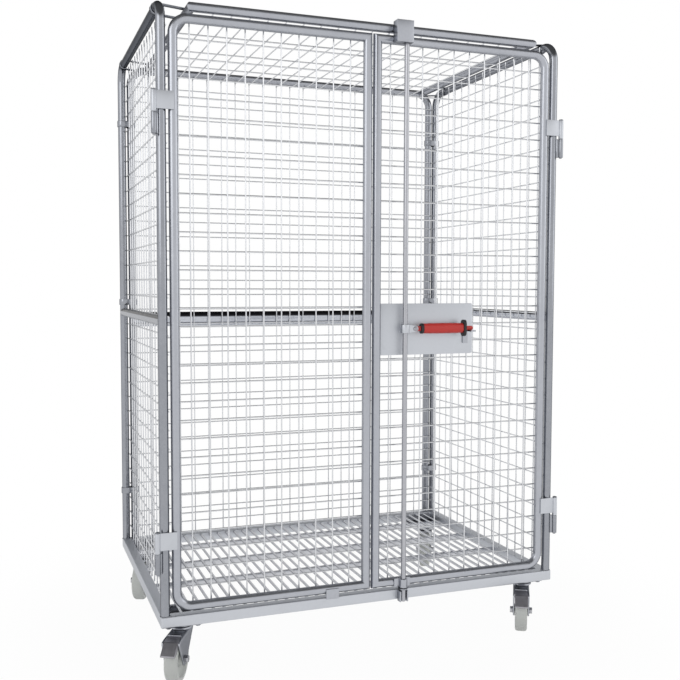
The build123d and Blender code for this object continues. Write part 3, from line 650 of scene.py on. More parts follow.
@dataclass(frozen=True)
class Finish:
    """Look of a surface, under a slot of the record."""

    name: str
    slot: str
    dark: Colour
    light: Colour
    roughness: Point
    bump: float
    dust: Colour = (0.50, 0.48, 0.45)
    dust_amount: float = 0.0
    dust_reach: float = 0.14
    metallic: float = 0.0
    pattern_scale: float = 900.0
    scuff_scale: float = 60.0
    scuff_share: float = 0.4
    scuff_shade: float = 0.75
    relief: float = 0.0004

    def _pattern(self, effects: ShaderEffects) -> bpy.types.NodeTree:
        """Effect that the surface is grown from."""
        raise NotImplementedError

    def _dress(self, coat: Coat, colour: Any) -> Any:
        """Add what only this kind of finish has, and hand on the colour."""
        raise NotImplementedError

    def material(self, effects: ShaderEffects) -> bpy.types.Material:
        """Build the material.

        Args:
            effects: The shared effects.

        Returns:
            The finished material.
        """
        coat = Coat(self.name)
        coat.shader["Metallic"].default_value = self.metallic
        pattern = coat.effect(self._pattern(effects), Scale=self.pattern_scale)
        scuffs = coat.effect(effects.scuffs, Scale=self.scuff_scale, Share=self.scuff_share)
        dust = coat.effect(effects.floor_dust, Reach=self.dust_reach, Amount=self.dust_amount)
        body = coat.blend(pattern["Mask"], self.dark, self.light)
        scuffed = coat.blend(scuffs["Mask"], body, tuple(self.scuff_shade * part for part in self.dark))
        coat.feed("Base Color", self._dress(coat, coat.blend(dust["Mask"], scuffed, self.dust)))
        coat.feed("Roughness", coat.ramp(pattern["Mask"], (0.0, 1.0), self.roughness))
        bump = {"Strength": self.bump, "Distance": self.relief, "Height": pattern["Height"]}
        coat.feed("Normal", coat.add("ShaderNodeBump", bump)["Normal"])
        return coat.material


@dataclass(frozen=True)
class ZincFinish(Finish):
    """Zinc plated steel, bare or lacquered, with spangle, rubbed marks, dust near the floor and, where asked,
    a painted shade on the upper side.
    """

    dust_amount: float = 0.12
    dust_reach: float = 0.24
    metallic: float = 1.0
    pattern_scale: float = 160.0
    scuff_scale: float = 26.0
    scuff_share: float = 0.42
    scuff_shade: float = 0.88
    edge: float = 0.5
    # Painted shade: near black painted over the upper side of a tube, standing for the dark ceiling it
    # reflects; its strength, the span of height over which it fades in, and its colour.
    grime: float = 0.0
    grime_rise: Point = (0.22, 0.42)
    soot: Colour = (0.012, 0.012, 0.014)

    def _pattern(self, effects: ShaderEffects) -> bpy.types.NodeTree:
        """Crystals of the coat."""
        return effects.spangle

    def _dress(self, coat: Coat, colour: Any) -> Any:
        """Tint the grazing gloss, and paint shade on the upper side where the finish asks for it: near black
        standing for the dark ceiling's reflection.

        Args:
            coat: Nodes of the material.
            colour: Colour of the surface without the painted shade.

        Returns:
            Colour with the painted shade on it.
        """
        coat.shader["Specular Tint"].default_value = (self.edge, self.edge, self.edge, 1.0)
        if not self.grime:
            return colour
        # Painted shade: near black painted on the upper half of the tube, by its height attribute, for the
        # dark ceiling's reflection.
        height = coat.add("ShaderNodeAttribute", attribute_name="upper")["Fac"]
        mask = coat.ramp(height, self.grime_rise, (0.0, self.grime), "SMOOTHSTEP")
        return coat.blend(mask, colour, self.soot)


@dataclass(frozen=True)
class MouldedFinish(Finish):
    """Moulded plastic or rubber with a fine grain and scuffs."""

    coat: float = 0.0

    def _pattern(self, effects: ShaderEffects) -> bpy.types.NodeTree:
        """Grain of the mould."""
        return effects.grain

    def _dress(self, coat: Coat, colour: Any) -> Any:
        """Set the clear coat."""
        coat.shader["Coat Weight"].default_value = self.coat
        return colour


class Look(Enum):
    """Finishes that the pieces choose from."""

    BRIGHT = ZincFinish(
        "bright_zinc", "zinc", (0.295, 0.307, 0.337), (0.355, 0.367, 0.397), (0.14, 0.22), 0.03, edge=0.2)
    SATIN = ZincFinish(
        "satin_zinc", "zinc", (0.42, 0.435, 0.475), (0.48, 0.495, 0.535), (0.27, 0.35), 0.03, edge=0.25)
    SHEET = ZincFinish(
        "sheet_zinc", "zinc", (0.57, 0.59, 0.63), (0.61, 0.63, 0.67), (0.42, 0.50), 0.015, edge=0.7)
    WIRE = ZincFinish(
        "wire_zinc", "zinc", (0.70, 0.71, 0.735), (0.76, 0.77, 0.79), (0.16, 0.28), 0.03, edge=0.8)
    FLOOR = ZincFinish(
        "floor_zinc", "zinc", (0.53, 0.54, 0.575), (0.60, 0.61, 0.64), (0.18, 0.28), 0.03, edge=0.7)
    ROD = ZincFinish(
        "rod_zinc", "zinc", (0.43, 0.435, 0.465), (0.49, 0.495, 0.525), (0.24, 0.34), 0.03, edge=0.4)
    DARK = ZincFinish(
        "dark_zinc", "dark_zinc", (0.36, 0.355, 0.385), (0.44, 0.435, 0.465), (0.44, 0.54), 0.05)
    # Mid rails: the upper half of each tube gets a painted shade, near black, for the dark ceiling it
    # reflects.
    RAIL = ZincFinish(
        "rail_zinc", "dark_zinc", (0.55, 0.57, 0.62), (0.60, 0.62, 0.67), (0.20, 0.28), 0.02,
        dust_amount=0.0, edge=0.6, grime=0.985)
    LACQUER = ZincFinish(
        "red_lacquer", "red_paint", (0.55, 0.035, 0.03), (0.66, 0.05, 0.04), (0.22, 0.34), 0.06,
        dust_amount=0.0, metallic=0.0, edge=0.9)
    GRIP = MouldedFinish(
        "red_grip", "red_plastic", (0.58, 0.028, 0.022), (0.68, 0.040, 0.032), (0.34, 0.50), 0.12, coat=0.15)
    COLLAR = MouldedFinish(
        "black_collar", "black_plastic", (0.012, 0.012, 0.013), (0.022, 0.022, 0.024), (0.42, 0.58), 0.15)
    WHEEL = MouldedFinish(
        "grey_wheel", "grey_plastic", (0.62, 0.645, 0.62), (0.70, 0.72, 0.70), (0.42, 0.60), 0.12,
        dust=(0.46, 0.45, 0.43), dust_amount=0.35)


class Workshop:
    """Keeps the trees and the materials, and turns meshes into pieces of the container."""

    def __init__(self) -> None:
        """Build the trees, the effects and the materials."""
        self.trees = GrowthTrees()
        effects = ShaderEffects()
        self.materials = {look: look.value.material(effects) for look in Look}

    def place(self, name: str, mesh: bpy.types.Mesh, body: str, look: Look, nodes: Sequence[str],
              smooth: float = 35.0) -> None:
        """Put a finished mesh into the container.

        Args:
            name: Name of the piece.
            mesh: Its mesh, in place.
            body: Body that it moves with.
            look: Its finish.
            nodes: Nodes of the frame that it stands for.
            smooth: Largest angle between faces that are shaded as one, in degrees.
        """
        mesh.materials.clear()
        mesh.materials.append(self.materials[look])
        mesh.shade_smooth()
        mesh.set_sharp_from_angle(angle=math.radians(smooth))
        piece = linked_object(name, mesh)
        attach(piece, body)
        if nodes:
            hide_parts(*nodes)
        log.info("%s: %d faces on %s", name, len(mesh.polygons), body)

    def tube(self, name: str, corners: Sequence[Vector], bend: float) -> bpy.types.Mesh:
        """Bent round tube along a line of corners."""
        inputs = {"Radius": TUBE / 2, "Bend": bend, "Bend Steps": 10, "Sides": 28,
                  "Material": self.materials[Look.BRIGHT]}
        return grow(name, self.trees.bent_tube, inputs, bare_mesh(name, corners, True))

    def beads(self, name: str, points: Sequence[Vector], radius: float, seed: int) -> bpy.types.Mesh:
        """Level rings of weld beads round several points."""
        inputs = {"Radius": radius, "Bead": 0.0017, "Count": 34, "Turn": (0.0, 0.0, 0.0), "Seed": seed,
                  "Material": self.materials[Look.BRIGHT]}
        return grow(name, self.trees.weld_rings, inputs, bare_mesh(name, points, False))

    def bolts(self, name: str, points: Sequence[Vector], across: float, height: float, washer: float
              ) -> bpy.types.Mesh:
        """Hexagon heads that hang on washers below several points."""
        inputs = {"Corner": across / math.sqrt(3), "Height": height, "Washer": washer,
                  "Washer Height": 0.0012, "Turn": (math.pi, 0.0, 0.0),
                  "Material": self.materials[Look.BRIGHT]}
        return grow(name, self.trees.bolts, inputs, bare_mesh(name, points, False))


SHOP = Workshop()


class Workpiece:
    """Mesh under construction from turned, cut and folded shapes."""

    def __init__(self) -> None:
        """Start with nothing."""
        self.mesh = bmesh.new()

    @classmethod
    def of(cls, node: str) -> "Workpiece":
        """Start with the merged shape of a node of the frame.

        Args:
            node: The node's name.

        Returns:
            The workpiece.
        """
        work = cls()
        work.mesh.from_mesh(frame["nodes"][node].data)
        bmesh.ops.remove_doubles(work.mesh, verts=work.mesh.verts, dist=NEARLY_NONE)
        flat = math.radians(1.0)
        bmesh.ops.dissolve_limit(work.mesh, angle_limit=flat, verts=work.mesh.verts, edges=work.mesh.edges)
        return work

    def face(self, corners: Sequence[Vertex]) -> None:
        """Add a face unless it has no area."""
        if len(set(corners)) > 2:
            self.mesh.faces.new(corners)

    def ring(self, outline: Outline, height: float, place: Matrix = Matrix()) -> list[Vertex]:
        """Vertices round an outline at a height of its own axes."""
        return [self.mesh.verts.new(place @ Vector((x, y, height))) for x, y in outline]

    def join(self, rings: Sequence[Sequence[Vertex]], capped: bool) -> None:
        """Skin between rings of vertices.

        Args:
            rings: The rings, with equal numbers of vertices.
            capped: Whether the first and the last ring get flat ends.
        """
        count = len(rings[0])
        for low, high in zip(rings, rings[1:]):
            for i in range(count):
                self.face((low[i], low[(i + 1) % count], high[(i + 1) % count], high[i]))
        if capped:
            self.mesh.faces.new(list(reversed(rings[0])))
            self.mesh.faces.new(rings[-1])

    def box(self, low: Sequence[float], high: Sequence[float], place: Matrix = Matrix()) -> None:
        """Add a block between its lowest and its highest corner."""
        outline = [(low[0], low[1]), (high[0], low[1]), (high[0], high[1]), (low[0], high[1])]
        self.prism(outline, low[2], high[2], place)

    def prism(self, outline: Outline, low: float, high: float, place: Matrix = Matrix()) -> None:
        """Add a flat outline raised between two heights."""
        self.loft([(low, outline), (high, outline)], place)

    def loft(self, outlines: Sequence[tuple[float, Outline]], place: Matrix = Matrix()) -> None:
        """Add a skin through outlines at several heights, with equal numbers of points."""
        self.join([self.ring(outline, height, place) for height, outline in outlines], True)

    def lathe(self, profile: Outline, place: Matrix = Matrix(), sides: int = 32, ring: bool = False) -> None:
        """Add a profile turned round its own z axis.

        Args:
            profile: Radius and height of each point.
            place: Where the profile's own axes lie.
            sides: Faces round the axis.
            ring: Whether the last point joins the first.
        """
        rings = [self.ring(circle(0, 0, radius, sides), height, place) for radius, height in profile]
        self.join(rings + rings[:1] if ring else rings, not ring)

    def pin(self, radius: float, low: float, high: float, place: Matrix = Matrix(), sides: int = 28) -> None:
        """Add a round bar along its own z axis."""
        self.lathe([(radius, low), (radius, high)], place, sides)

    def tube_ring(self, corners: Sequence[Vector], bends: Sequence[float], radius: float) -> None:
        """Add a round tube that runs round a rectangle.

        Args:
            corners: Four corners of its middle line.
            bends: Bend radius at each corner, nought for a mitre.
            radius: Radius of the tube.
        """
        through = (corners[1] - corners[0]).cross(corners[2] - corners[1]).normalized()
        rings = []
        for i, (corner, bend) in enumerate(zip(corners, bends)):
            back = (corners[i - 1] - corner).normalized()
            on = (corners[(i + 1) % 4] - corner).normalized()
            steps = RING_STEPS if bend else 0
            wide = radius if bend else radius * math.sqrt(2)
            for step in range(steps + 1):
                turn = QUARTER * step / steps if steps else QUARTER / 2
                out = -on * math.cos(turn) - back * math.sin(turn)
                middle = corner + (back + on + out) * bend
                ring = [middle + out * wide * math.cos(angle) + through * radius * math.sin(angle)
                        for angle in turns(RING_SIDES)]
                rings.append([self.mesh.verts.new(point) for point in ring])
        self.join(rings + rings[:1], False)

    def finish(self, name: str, bevel: float, segments: int = 2, angle: float = 32.0, wall: float = 0.0
               ) -> bpy.types.Mesh:
        """Close the mesh and take off its sharp edges.

        Args:
            name: Name of the mesh.
            bevel: Width taken off each edge.
            segments: Faces across each edge.
            angle: Smallest angle of an edge that is taken off, in degrees.
            wall: Thickness given to an open sheet.

        Returns:
            The finished mesh.
        """
        bmesh.ops.recalc_face_normals(self.mesh, faces=self.mesh.faces)
        rough = bpy.data.meshes.new(f"{name}_rough")
        self.mesh.to_mesh(rough)
        self.mesh.free()
        holder = linked_object(f"{name}_rough", rough)
        if wall:
            solid = holder.modifiers.new("wall", "SOLIDIFY")
            solid.thickness, solid.offset = wall, 0.0
        if bevel:
            rim = holder.modifiers.new("rims", "BEVEL")
            rim.width, rim.segments, rim.limit_method = bevel, segments, "ANGLE"
            rim.angle_limit, rim.use_clamp_overlap = math.radians(angle), True
        mesh = kept_mesh(name, holder)
        bpy.data.meshes.remove(rough)
        return mesh

    def put(self, name: str, body: str, look: Look, nodes: Sequence[str], bevel: float = 0.0,
            segments: int = 2, angle: float = 32.0, smooth: float = 35.0) -> None:
        """Finish the mesh and put it into the container.

        Args:
            name: Name of the piece.
            body: Body that it moves with.
            look: Its finish.
            nodes: Nodes of the frame that it stands for.
            bevel: Width taken off each edge.
            segments: Faces across each edge.
            angle: Smallest angle of an edge that is taken off, in degrees.
            smooth: Largest angle between faces that are shaded as one, in degrees.
        """
        SHOP.place(name, self.finish(name, bevel, segments, angle), body, look, nodes, smooth)


def joined(name: str, meshes: Sequence[bpy.types.Mesh]) -> bpy.types.Mesh:
    """Several meshes as one.

    Args:
        name: Name of the new mesh.
        meshes: The meshes, which are used up.

    Returns:
        The joined mesh.
    """
    whole = bmesh.new()
    for mesh in meshes:
        whole.from_mesh(mesh)
        bpy.data.meshes.remove(mesh)
    result = bpy.data.meshes.new(name)
    whole.to_mesh(result)
    whole.free()
    return result


def upright(x: float, y: float, z: float = 0.0, turn: float = 0.0) -> Matrix:
    """Axes at a place, turned about the vertical."""
    return Matrix.Translation((x, y, z)) @ Matrix.Rotation(turn, 4, "Z")


def facing_front(x: float, y: float, z: float) -> Matrix:
    """Axes at a place with their z towards the front and their y up."""
    return Matrix.Translation((x, y, z)) @ Matrix.Rotation(QUARTER, 4, "X")


def along_x(y: float, z: float) -> Matrix:
    """Axes at a height and depth with their z to the right and their y up."""
    return Matrix.Translation((0, y, z)) @ TO_RIGHT


def frame_corners(node: str, level: Level, standing: bool) -> list[Vector]:
    """Corners of the middle line of a tube frame, from its node's room.

    Args:
        node: The frame's node.
        level: Plane that the frame lies in.
        standing: Whether the tube ends on the base instead of running round.

    Returns:
        Lower left, upper left, upper right and lower right corner.
    """
    room = Room.of(node)
    across, up = level.value
    low, high = room.low[across] + TUBE / 2, room.high[across] - TUBE / 2
    foot, top = room.low[up] + (0.0 if standing else TUBE / 2), room.high[up] - TUBE / 2
    plan = ((low, foot), (low, top), (high, top), (high, foot))
    return [Vector(level.point(u, v, room.middle[level.through])) for u, v in plan]


@dataclass
class ArchFrame:
    """Round tube bent into an arch that stands on the base."""

    node: str
    level: Level
    bend: float = 0.050

    def build(self) -> None:
        """Bend the tube and put it in place, with weld beads round its feet."""
        corners = frame_corners(self.node, self.level, True)
        tube = SHOP.tube(self.node, corners, self.bend)
        SHOP.place(f"{self.node}_tube", tube, "cage", Look.BRIGHT, [self.node])
        beads = SHOP.beads(f"{self.node}_beads", [corners[0], corners[-1]], TUBE / 2, len(self.node))
        SHOP.place(f"{self.node}_welds", beads, "cage", Look.BRIGHT, [])


@dataclass
class RingFrame:
    """Round tube that runs round a door or the roof, bent or mitred at its corners."""

    node: str
    body: str
    level: Level
    corners: Corners
    bend: float = 0.040

    def build(self) -> None:
        """Skin the tube and put it in place."""
        bends = [self.bend if bent else 0.0 for bent in self.corners.value]
        work = Workpiece()
        work.tube_ring(frame_corners(self.node, self.level, False), bends, TUBE / 2)
        work.put(f"{self.node}_tube", self.body, Look.SATIN, [self.node])


@dataclass
class WirePanel:
    """Two layers of crossed wires welded into a panel."""

    node: str
    body: str
    level: Level
    rows_first: bool
    layer_sign: int
    row_insets: Point = (TUBE / 2, TUBE / 2)
    row_count: Optional[int] = None
    column_inset: float = TUBE / 2
    sides: int = 8
    weld: float = 0.0021

    def build(self) -> None:
        """Share out the wires in the node's room and put them in place."""
        room = Room.of(self.node)
        across, up = self.level.value
        point = self.level.point
        (low_u, high_u), (low_v, high_v), layers = (
            (room.low[axis], room.high[axis]) for axis in (across, up, self.level.through))
        near, far = layers if self.layer_sign > 0 else reversed(layers)
        inside = self.layer_sign * MESH_WIRE / 2
        first, second = near + inside, far - inside
        row_w, column_w = (first, second) if self.rows_first else (second, first)
        columns, u0 = spread(low_u + self.column_inset, high_u - self.column_inset, MESH_PITCH, MESH_WIRE)
        if self.row_count:
            rows, pitch = self.row_count, (high_v - low_v) / (self.row_count + 1)
            v0 = low_v + pitch
        else:
            pitch = MESH_PITCH
            rows, v0 = spread(low_v + self.row_insets[0], high_v - self.row_insets[1], pitch, MESH_WIRE)
        inputs = {
            "Row First": point(low_u, v0, row_w), "Row Step": point(0.0, pitch, 0.0),
            "Row Run": point(high_u - low_u, 0.0, 0.0), "Rows": rows, "Weld Rows": rows,
            "Column First": point(u0, low_v, column_w), "Column Step": point(MESH_PITCH, 0.0, 0.0),
            "Column Run": point(0.0, high_v - low_v, 0.0), "Columns": columns,
            "Weld First": point(u0, v0, (row_w + column_w) / 2), "Wire": MESH_WIRE / 2, "Sides": self.sides,
            "Weld": self.weld, "Material": SHOP.materials[Look.WIRE]}
        mesh = grow(self.node, SHOP.trees.wire_panel, inputs)
        SHOP.place(f"{self.node}_wires", mesh, self.body, Look.WIRE, [self.node], smooth=50.0)


@dataclass
class Base:
    """Square rails, floor wires and bars, and the plates under the corners."""

    rail: float = 0.030
    rail_round: float = 0.003
    bar: float = 0.008
    bars: int = 4
    sides: int = 12
    weld: float = 0.003
    plate: float = 0.130
    plate_round: float = 0.010
    set_back: float = 0.016

    def build(self) -> None:
        """Make every piece of the base."""
        self._rails()
        self._floor()
        self._plates()

    def _rails(self) -> None:
        """Square rails welded into a rectangle with mitred corners."""
        room = Room.of("base_frame")
        plans = []
        for inset in (0.0, self.rail):
            (x0, y0), (x1, y1) = ((corner.x + way * inset, corner.y + way * inset)
                                  for corner, way in ((room.low, 1), (room.high, -1)))
            plans.append([(x0, y0), (x1, y0), (x1, y1), (x0, y1)])
        outer, inner = plans
        low, high = room.low.z, room.high.z
        work = Workpiece()
        loops = [work.ring(plan, z) for plan, z in ((outer, low), (outer, high), (inner, high), (inner, low))]
        work.join(loops + loops[:1], False)
        work.put("base_rails", "cage", Look.SHEET, ["base_frame"], self.rail_round, segments=4)

    def _floor(self) -> None:
        """Close wires from front to back on flat bars."""
        room, bars = Room.of("floor_wires"), Room.of("floor_cross_bars")
        count = round((room.size.x - FLOOR_WIRE) / FLOOR_PITCH) + 1
        bar_step = (bars.size.y - self.bar) / (self.bars - 1)
        first = room.low.x + FLOOR_WIRE / 2
        inputs = {
            "Rows": 0, "Row Step": (0, bar_step, 0), "Weld Rows": self.bars,
            "Column First": (first, room.low.y, room.middle.z), "Column Step": (FLOOR_PITCH, 0, 0),
            "Column Run": (0, room.size.y, 0), "Columns": count,
            "Weld First": (first, bars.low.y + self.bar / 2, bars.high.z), "Wire": FLOOR_WIRE / 2,
            "Sides": self.sides, "Weld": self.weld, "Material": SHOP.materials[Look.FLOOR]}
        mesh = grow("floor_wires", SHOP.trees.wire_panel, inputs)
        SHOP.place("floor_rods", mesh, "cage", Look.FLOOR, ["floor_wires"], smooth=50.0)
        work = Workpiece.of("floor_cross_bars")
        work.put("floor_bars", "cage", Look.FLOOR, ["floor_cross_bars"], bevel=0.001)

    def _plates(self) -> None:
        """Plates with rounded corners set back under the rails."""
        room = Room.of("corner_plates")
        size = self.plate - self.set_back
        back = self.set_back + size / 2
        work = Workpiece()
        for x in (room.low.x + back, room.high.x - back):
            for y in (room.low.y + back, room.high.y - back):
                work.prism(rounded(size, size, self.plate_round, 5), room.low.z, room.high.z, upright(x, y))
        work.put("corner_plate_sheets", "cage", Look.SATIN, ["corner_plates"], bevel=0.0008)


@dataclass
class MidRail:
    """Oval tube between two legs at half height."""

    node: str
    level: Level
    sides: int = 44

    def build(self) -> None:
        """Round the section and run it between the legs, with the height of each point in its tube noted for
        the painted shade on the upper half.
        """
        room = Room.of(self.node)
        middle, size = room.middle, room.size
        section = [(TUBE / 2 * math.cos(t), size.z / 2 * math.sin(t)) for t in turns(self.sides)]
        work = Workpiece()
        if self.level is Level.FRONT:
            work.prism(section, room.low.x, room.high.x, along_x(middle.y, middle.z))
        else:
            work.prism(section, -room.high.y, -room.low.y, facing_front(middle.x, 0, middle.z))
        mesh = work.finish(f"{self.node}_tube", 0.0)
        # Height in the tube, which places the painted shade (near black) on the upper half.
        upper = mesh.attributes.new("upper", "FLOAT", "POINT")
        upper.data.foreach_set("value", [(vertex.co.z - middle.z) * 2 / size.z for vertex in mesh.vertices])
        SHOP.place(f"{self.node}_tube", mesh, "cage", Look.RAIL, [self.node])


@dataclass
class Clamps:
    """Bands that tie two tubes side by side."""

    node: str

    def build(self) -> None:
        """Copy the bands with rounded rims."""
        Workpiece.of(self.node).put(f"{self.node}_bands", "cage", Look.BRIGHT, [self.node], bevel=0.0005)


@dataclass
class Hinges:
    """Two hinges of one door: knuckles, arms and leaves."""

    side: Side
    knuckle: float = 0.007
    height: float = 0.110
    gap: float = 0.0005
    arm: float = 0.008
    root: float = 0.006
    sink: float = 0.001
    leaf: float = 0.047
    steel: float = 0.004
    rim: float = 0.0008
    feet: tuple[float, ...] = ()

    def build(self) -> None:
        """Make the knuckles on the post and the leaves on the door."""
        label = self.side.label
        axis, post = joint_place(f"{label}_door_hinge"), Room.of(f"{label}_side_frame")
        lugs, leaves = Room.of(f"{label}_hinge_lugs"), Room.of(f"{label}_hinge_leaves")
        self.feet = (lugs.low.z, leaves.high.z - self.height)
        run = Vector((post.middle.x - axis.x, post.low.y + TUBE / 2 - axis.y))
        reach = run.length - TUBE / 2 + self.sink
        place = upright(axis.x, axis.y)
        to_post = upright(axis.x, axis.y, 0, math.atan2(run.y, run.x))
        inner = leaves.high.x if self.side is Side.LEFT else leaves.low.x
        low, high = sorted((axis.x - self.side.value * self.root, inner))
        face = Room.of(f"{label}_door_frame").low.y - self.steel
        half = (self.height - self.gap) / 2
        fixed, moving = Workpiece(), Workpiece()
        for foot in self.feet:
            top = foot + self.height
            fixed.pin(self.knuckle, foot, foot + half, place, 32)
            fixed.box((self.root, -self.arm / 2, foot), (reach, self.arm / 2, foot + half), to_post)
            moving.pin(self.knuckle, top - half, top, place, 32)
            moving.box((low, face, top - self.leaf), (high, face + self.steel, top))
        fixed.put(f"{label}_hinge_knuckles", "cage", Look.BRIGHT, [f"{label}_hinge_lugs"], self.rim)
        moving.put(f"{label}_hinge_plates", f"{label}_door", Look.SHEET, [f"{label}_hinge_leaves"], self.rim)


@dataclass
class HingePins:
    """Headed pins of all four hinges."""

    radius: float = 0.004
    head: float = 0.0065
    cap: float = 0.003

    def build(self, hinges: Sequence[Hinges]) -> None:
        """Turn the pins on the hinge axes.

        Args:
            hinges: The hinges that the pins go through.
        """
        work = Workpiece()
        for hinge in hinges:
            axis = joint_place(f"{hinge.side.label}_door_hinge")
            for foot in hinge.feet:
                top = foot + hinge.height + hinge.gap
                work.lathe([(self.radius, foot - self.cap), (self.radius, top), (self.head, top),
                            (self.head, top + 0.6 * self.cap), (0.6 * self.head, top + self.cap)],
                           upright(axis.x, axis.y), 24)
        work.put("hinge_pin_set", "cage", Look.BRIGHT, ["hinge_pins"], bevel=0.0004)


@dataclass
class Lock:
    """Turning bar with cams, its guides and keepers, and the plate behind the handle."""

    bar: float = 0.007
    bar_round: float = 0.002
    hub: float = 0.012
    nose: float = 0.006
    reach: float = 0.024

    def build(self) -> None:
        """Make every piece of the lock apart from the handle."""
        self._sheets()
        self._bar()

    @staticmethod
    def _sheets() -> None:
        """Folded and cut pieces that keep the shape of their nodes, with rounded rims."""
        carried = {"right_door": ("lock_plate", "top_bar_guide", "bottom_bar_guide", "handle_seat"),
                   "left_door": ("left_door_stop",), "cage": ("top_keeper", "bottom_keeper")}
        for body, nodes in carried.items():
            for node in nodes:
                look = Look.SHEET if node == "lock_plate" else Look.SATIN
                Workpiece.of(node).put(f"{node}_sheet", body, look, [node], bevel=0.0007)

    def _bar(self) -> None:
        """Turned bar and the two cams on it."""
        room = Room.of("lock_bar")
        x, y = room.middle.x, room.middle.y
        low, high, narrow = room.low.z, room.high.z, self.bar - self.bar_round
        work = Workpiece()
        work.lathe([(narrow, low), (self.bar, low + self.bar_round), (self.bar, high - self.bar_round),
                    (narrow, high)], upright(x, y))
        work.put("lock_rod", "lock_bar", Look.ROD, ["lock_bar"])
        outline = hull(circle(x, y, self.hub, 40) + circle(x, y + self.reach, self.nose, 24))
        cams = ("top_cam", "bottom_cam")
        work = Workpiece()
        for cam in map(Room.of, cams):
            work.prism(outline, cam.low.z, cam.high.z)
        work.put("lock_cams", "lock_bar", Look.BRIGHT, cams, bevel=0.0007)


@dataclass
class Handle:
    """Clevis on the bar, its rivet and the lever with its grip and collars."""

    barrel: float = 0.013
    ear_root: float = 0.007
    eye: float = 0.009
    slot: float = 0.0043
    ear: float = 0.004
    lever_eye: float = 0.007
    lever: Point = (0.008, 0.012)
    rivet_head: Outline = ((0.0045, 0.0), (0.007, 0.0018), (0.007, 0.003), (0.004, 0.003))
    grip_round: float = 0.0105
    collar_round: float = 0.011
    stations: int = 24
    waist: float = 0.93
    ripple: float = 0.012
    ripples: int = 6

    def __post_init__(self) -> None:
        """Find the pin that the lever lifts on."""
        self.pin = Room.of("handle_pin")
        self.axis = self.pin.middle

    def build(self) -> None:
        """Make every piece of the handle."""
        self._clevis()
        self._rivet()
        self._lever()
        self._grip()

    def _clevis(self) -> None:
        """Barrel round the bar with two ears."""
        bar, room = Room.of("lock_bar").middle, Room.of("handle_clevis")
        low, high = room.low.z, room.high.z
        work = Workpiece()
        work.pin(self.barrel, low, high, upright(bar.x, bar.y), 40)
        root = bar.x + self.ear_root
        ear = hull([(root, low), (root, high)] + circle(self.axis.x, self.axis.z, self.eye, 36))
        for start in (-self.slot - self.ear, self.slot):
            work.prism(ear, start, start + self.ear, facing_front(0, bar.y, 0))
        work.put("handle_clevis_ears", "lock_bar", Look.SHEET, ["handle_clevis"], bevel=0.0007)

    def _rivet(self) -> None:
        """Pin with a rounded head at each end."""
        half = self.pin.size.y / 2
        profile = [(radius, height - half) for radius, height in self.rivet_head]
        profile += [(radius, half - height) for radius, height in reversed(self.rivet_head)]
        work = Workpiece()
        work.lathe(profile, facing_front(*self.axis), 28)
        work.put("handle_rivet", "lock_bar", Look.DARK, ["handle_pin"], bevel=0.0003)

    def _lever(self) -> None:
        """Flat lever with a round eye and a rounded tip."""
        room, axis = Room.of("handle_lever"), self.axis
        thick, tall = self.lever
        tip = circle(room.high.x - tall / 2, axis.z, tall / 2)
        arm = [(axis.x, axis.z - tall / 2), (axis.x, axis.z + tall / 2)]
        outline = hull(arm + tip + circle(axis.x, axis.z, self.lever_eye))
        work = Workpiece()
        work.prism(outline, -thick / 2, thick / 2, facing_front(0, room.middle.y, 0))
        work.put("handle_lever_bar", "handle", Look.LACQUER, ["handle_lever"], bevel=0.0008)

    def _grip(self) -> None:
        """Swollen grip with a ring at one end and a taller collar at the other."""
        room, rings = Room.of("handle_grip"), Room.of("grip_collars")
        size, place = room.size, along_x(room.middle.y, room.middle.z)
        sections = []
        for i in range(self.stations + 1):
            share = i / self.stations
            belly = self.waist + (1 - self.waist) * math.sin(math.pi * share) ** 0.6
            swell = min(belly + self.ripple * math.cos(2 * math.pi * self.ripples * share), 1.0)
            section = rounded(size.y * swell, size.z * swell, self.grip_round * swell)
            sections.append((room.low.x + share * size.x, section))
        work = Workpiece()
        work.loft(sections, place)
        work.put("handle_grip_sleeve", "handle", Look.GRIP, ["handle_grip"],
                 bevel=0.0012, segments=3, angle=50.0)
        work = Workpiece()
        work.prism(rounded(size.y, size.z, self.grip_round, 8), rings.low.x, room.low.x, place)
        collar = rounded(rings.size.y, rings.size.z, self.collar_round, 8)
        work.prism(collar, room.high.x, rings.high.x, place)
        work.put("grip_collar_pair", "handle", Look.COLLAR, ["grip_collars"], bevel=0.0014, segments=3)


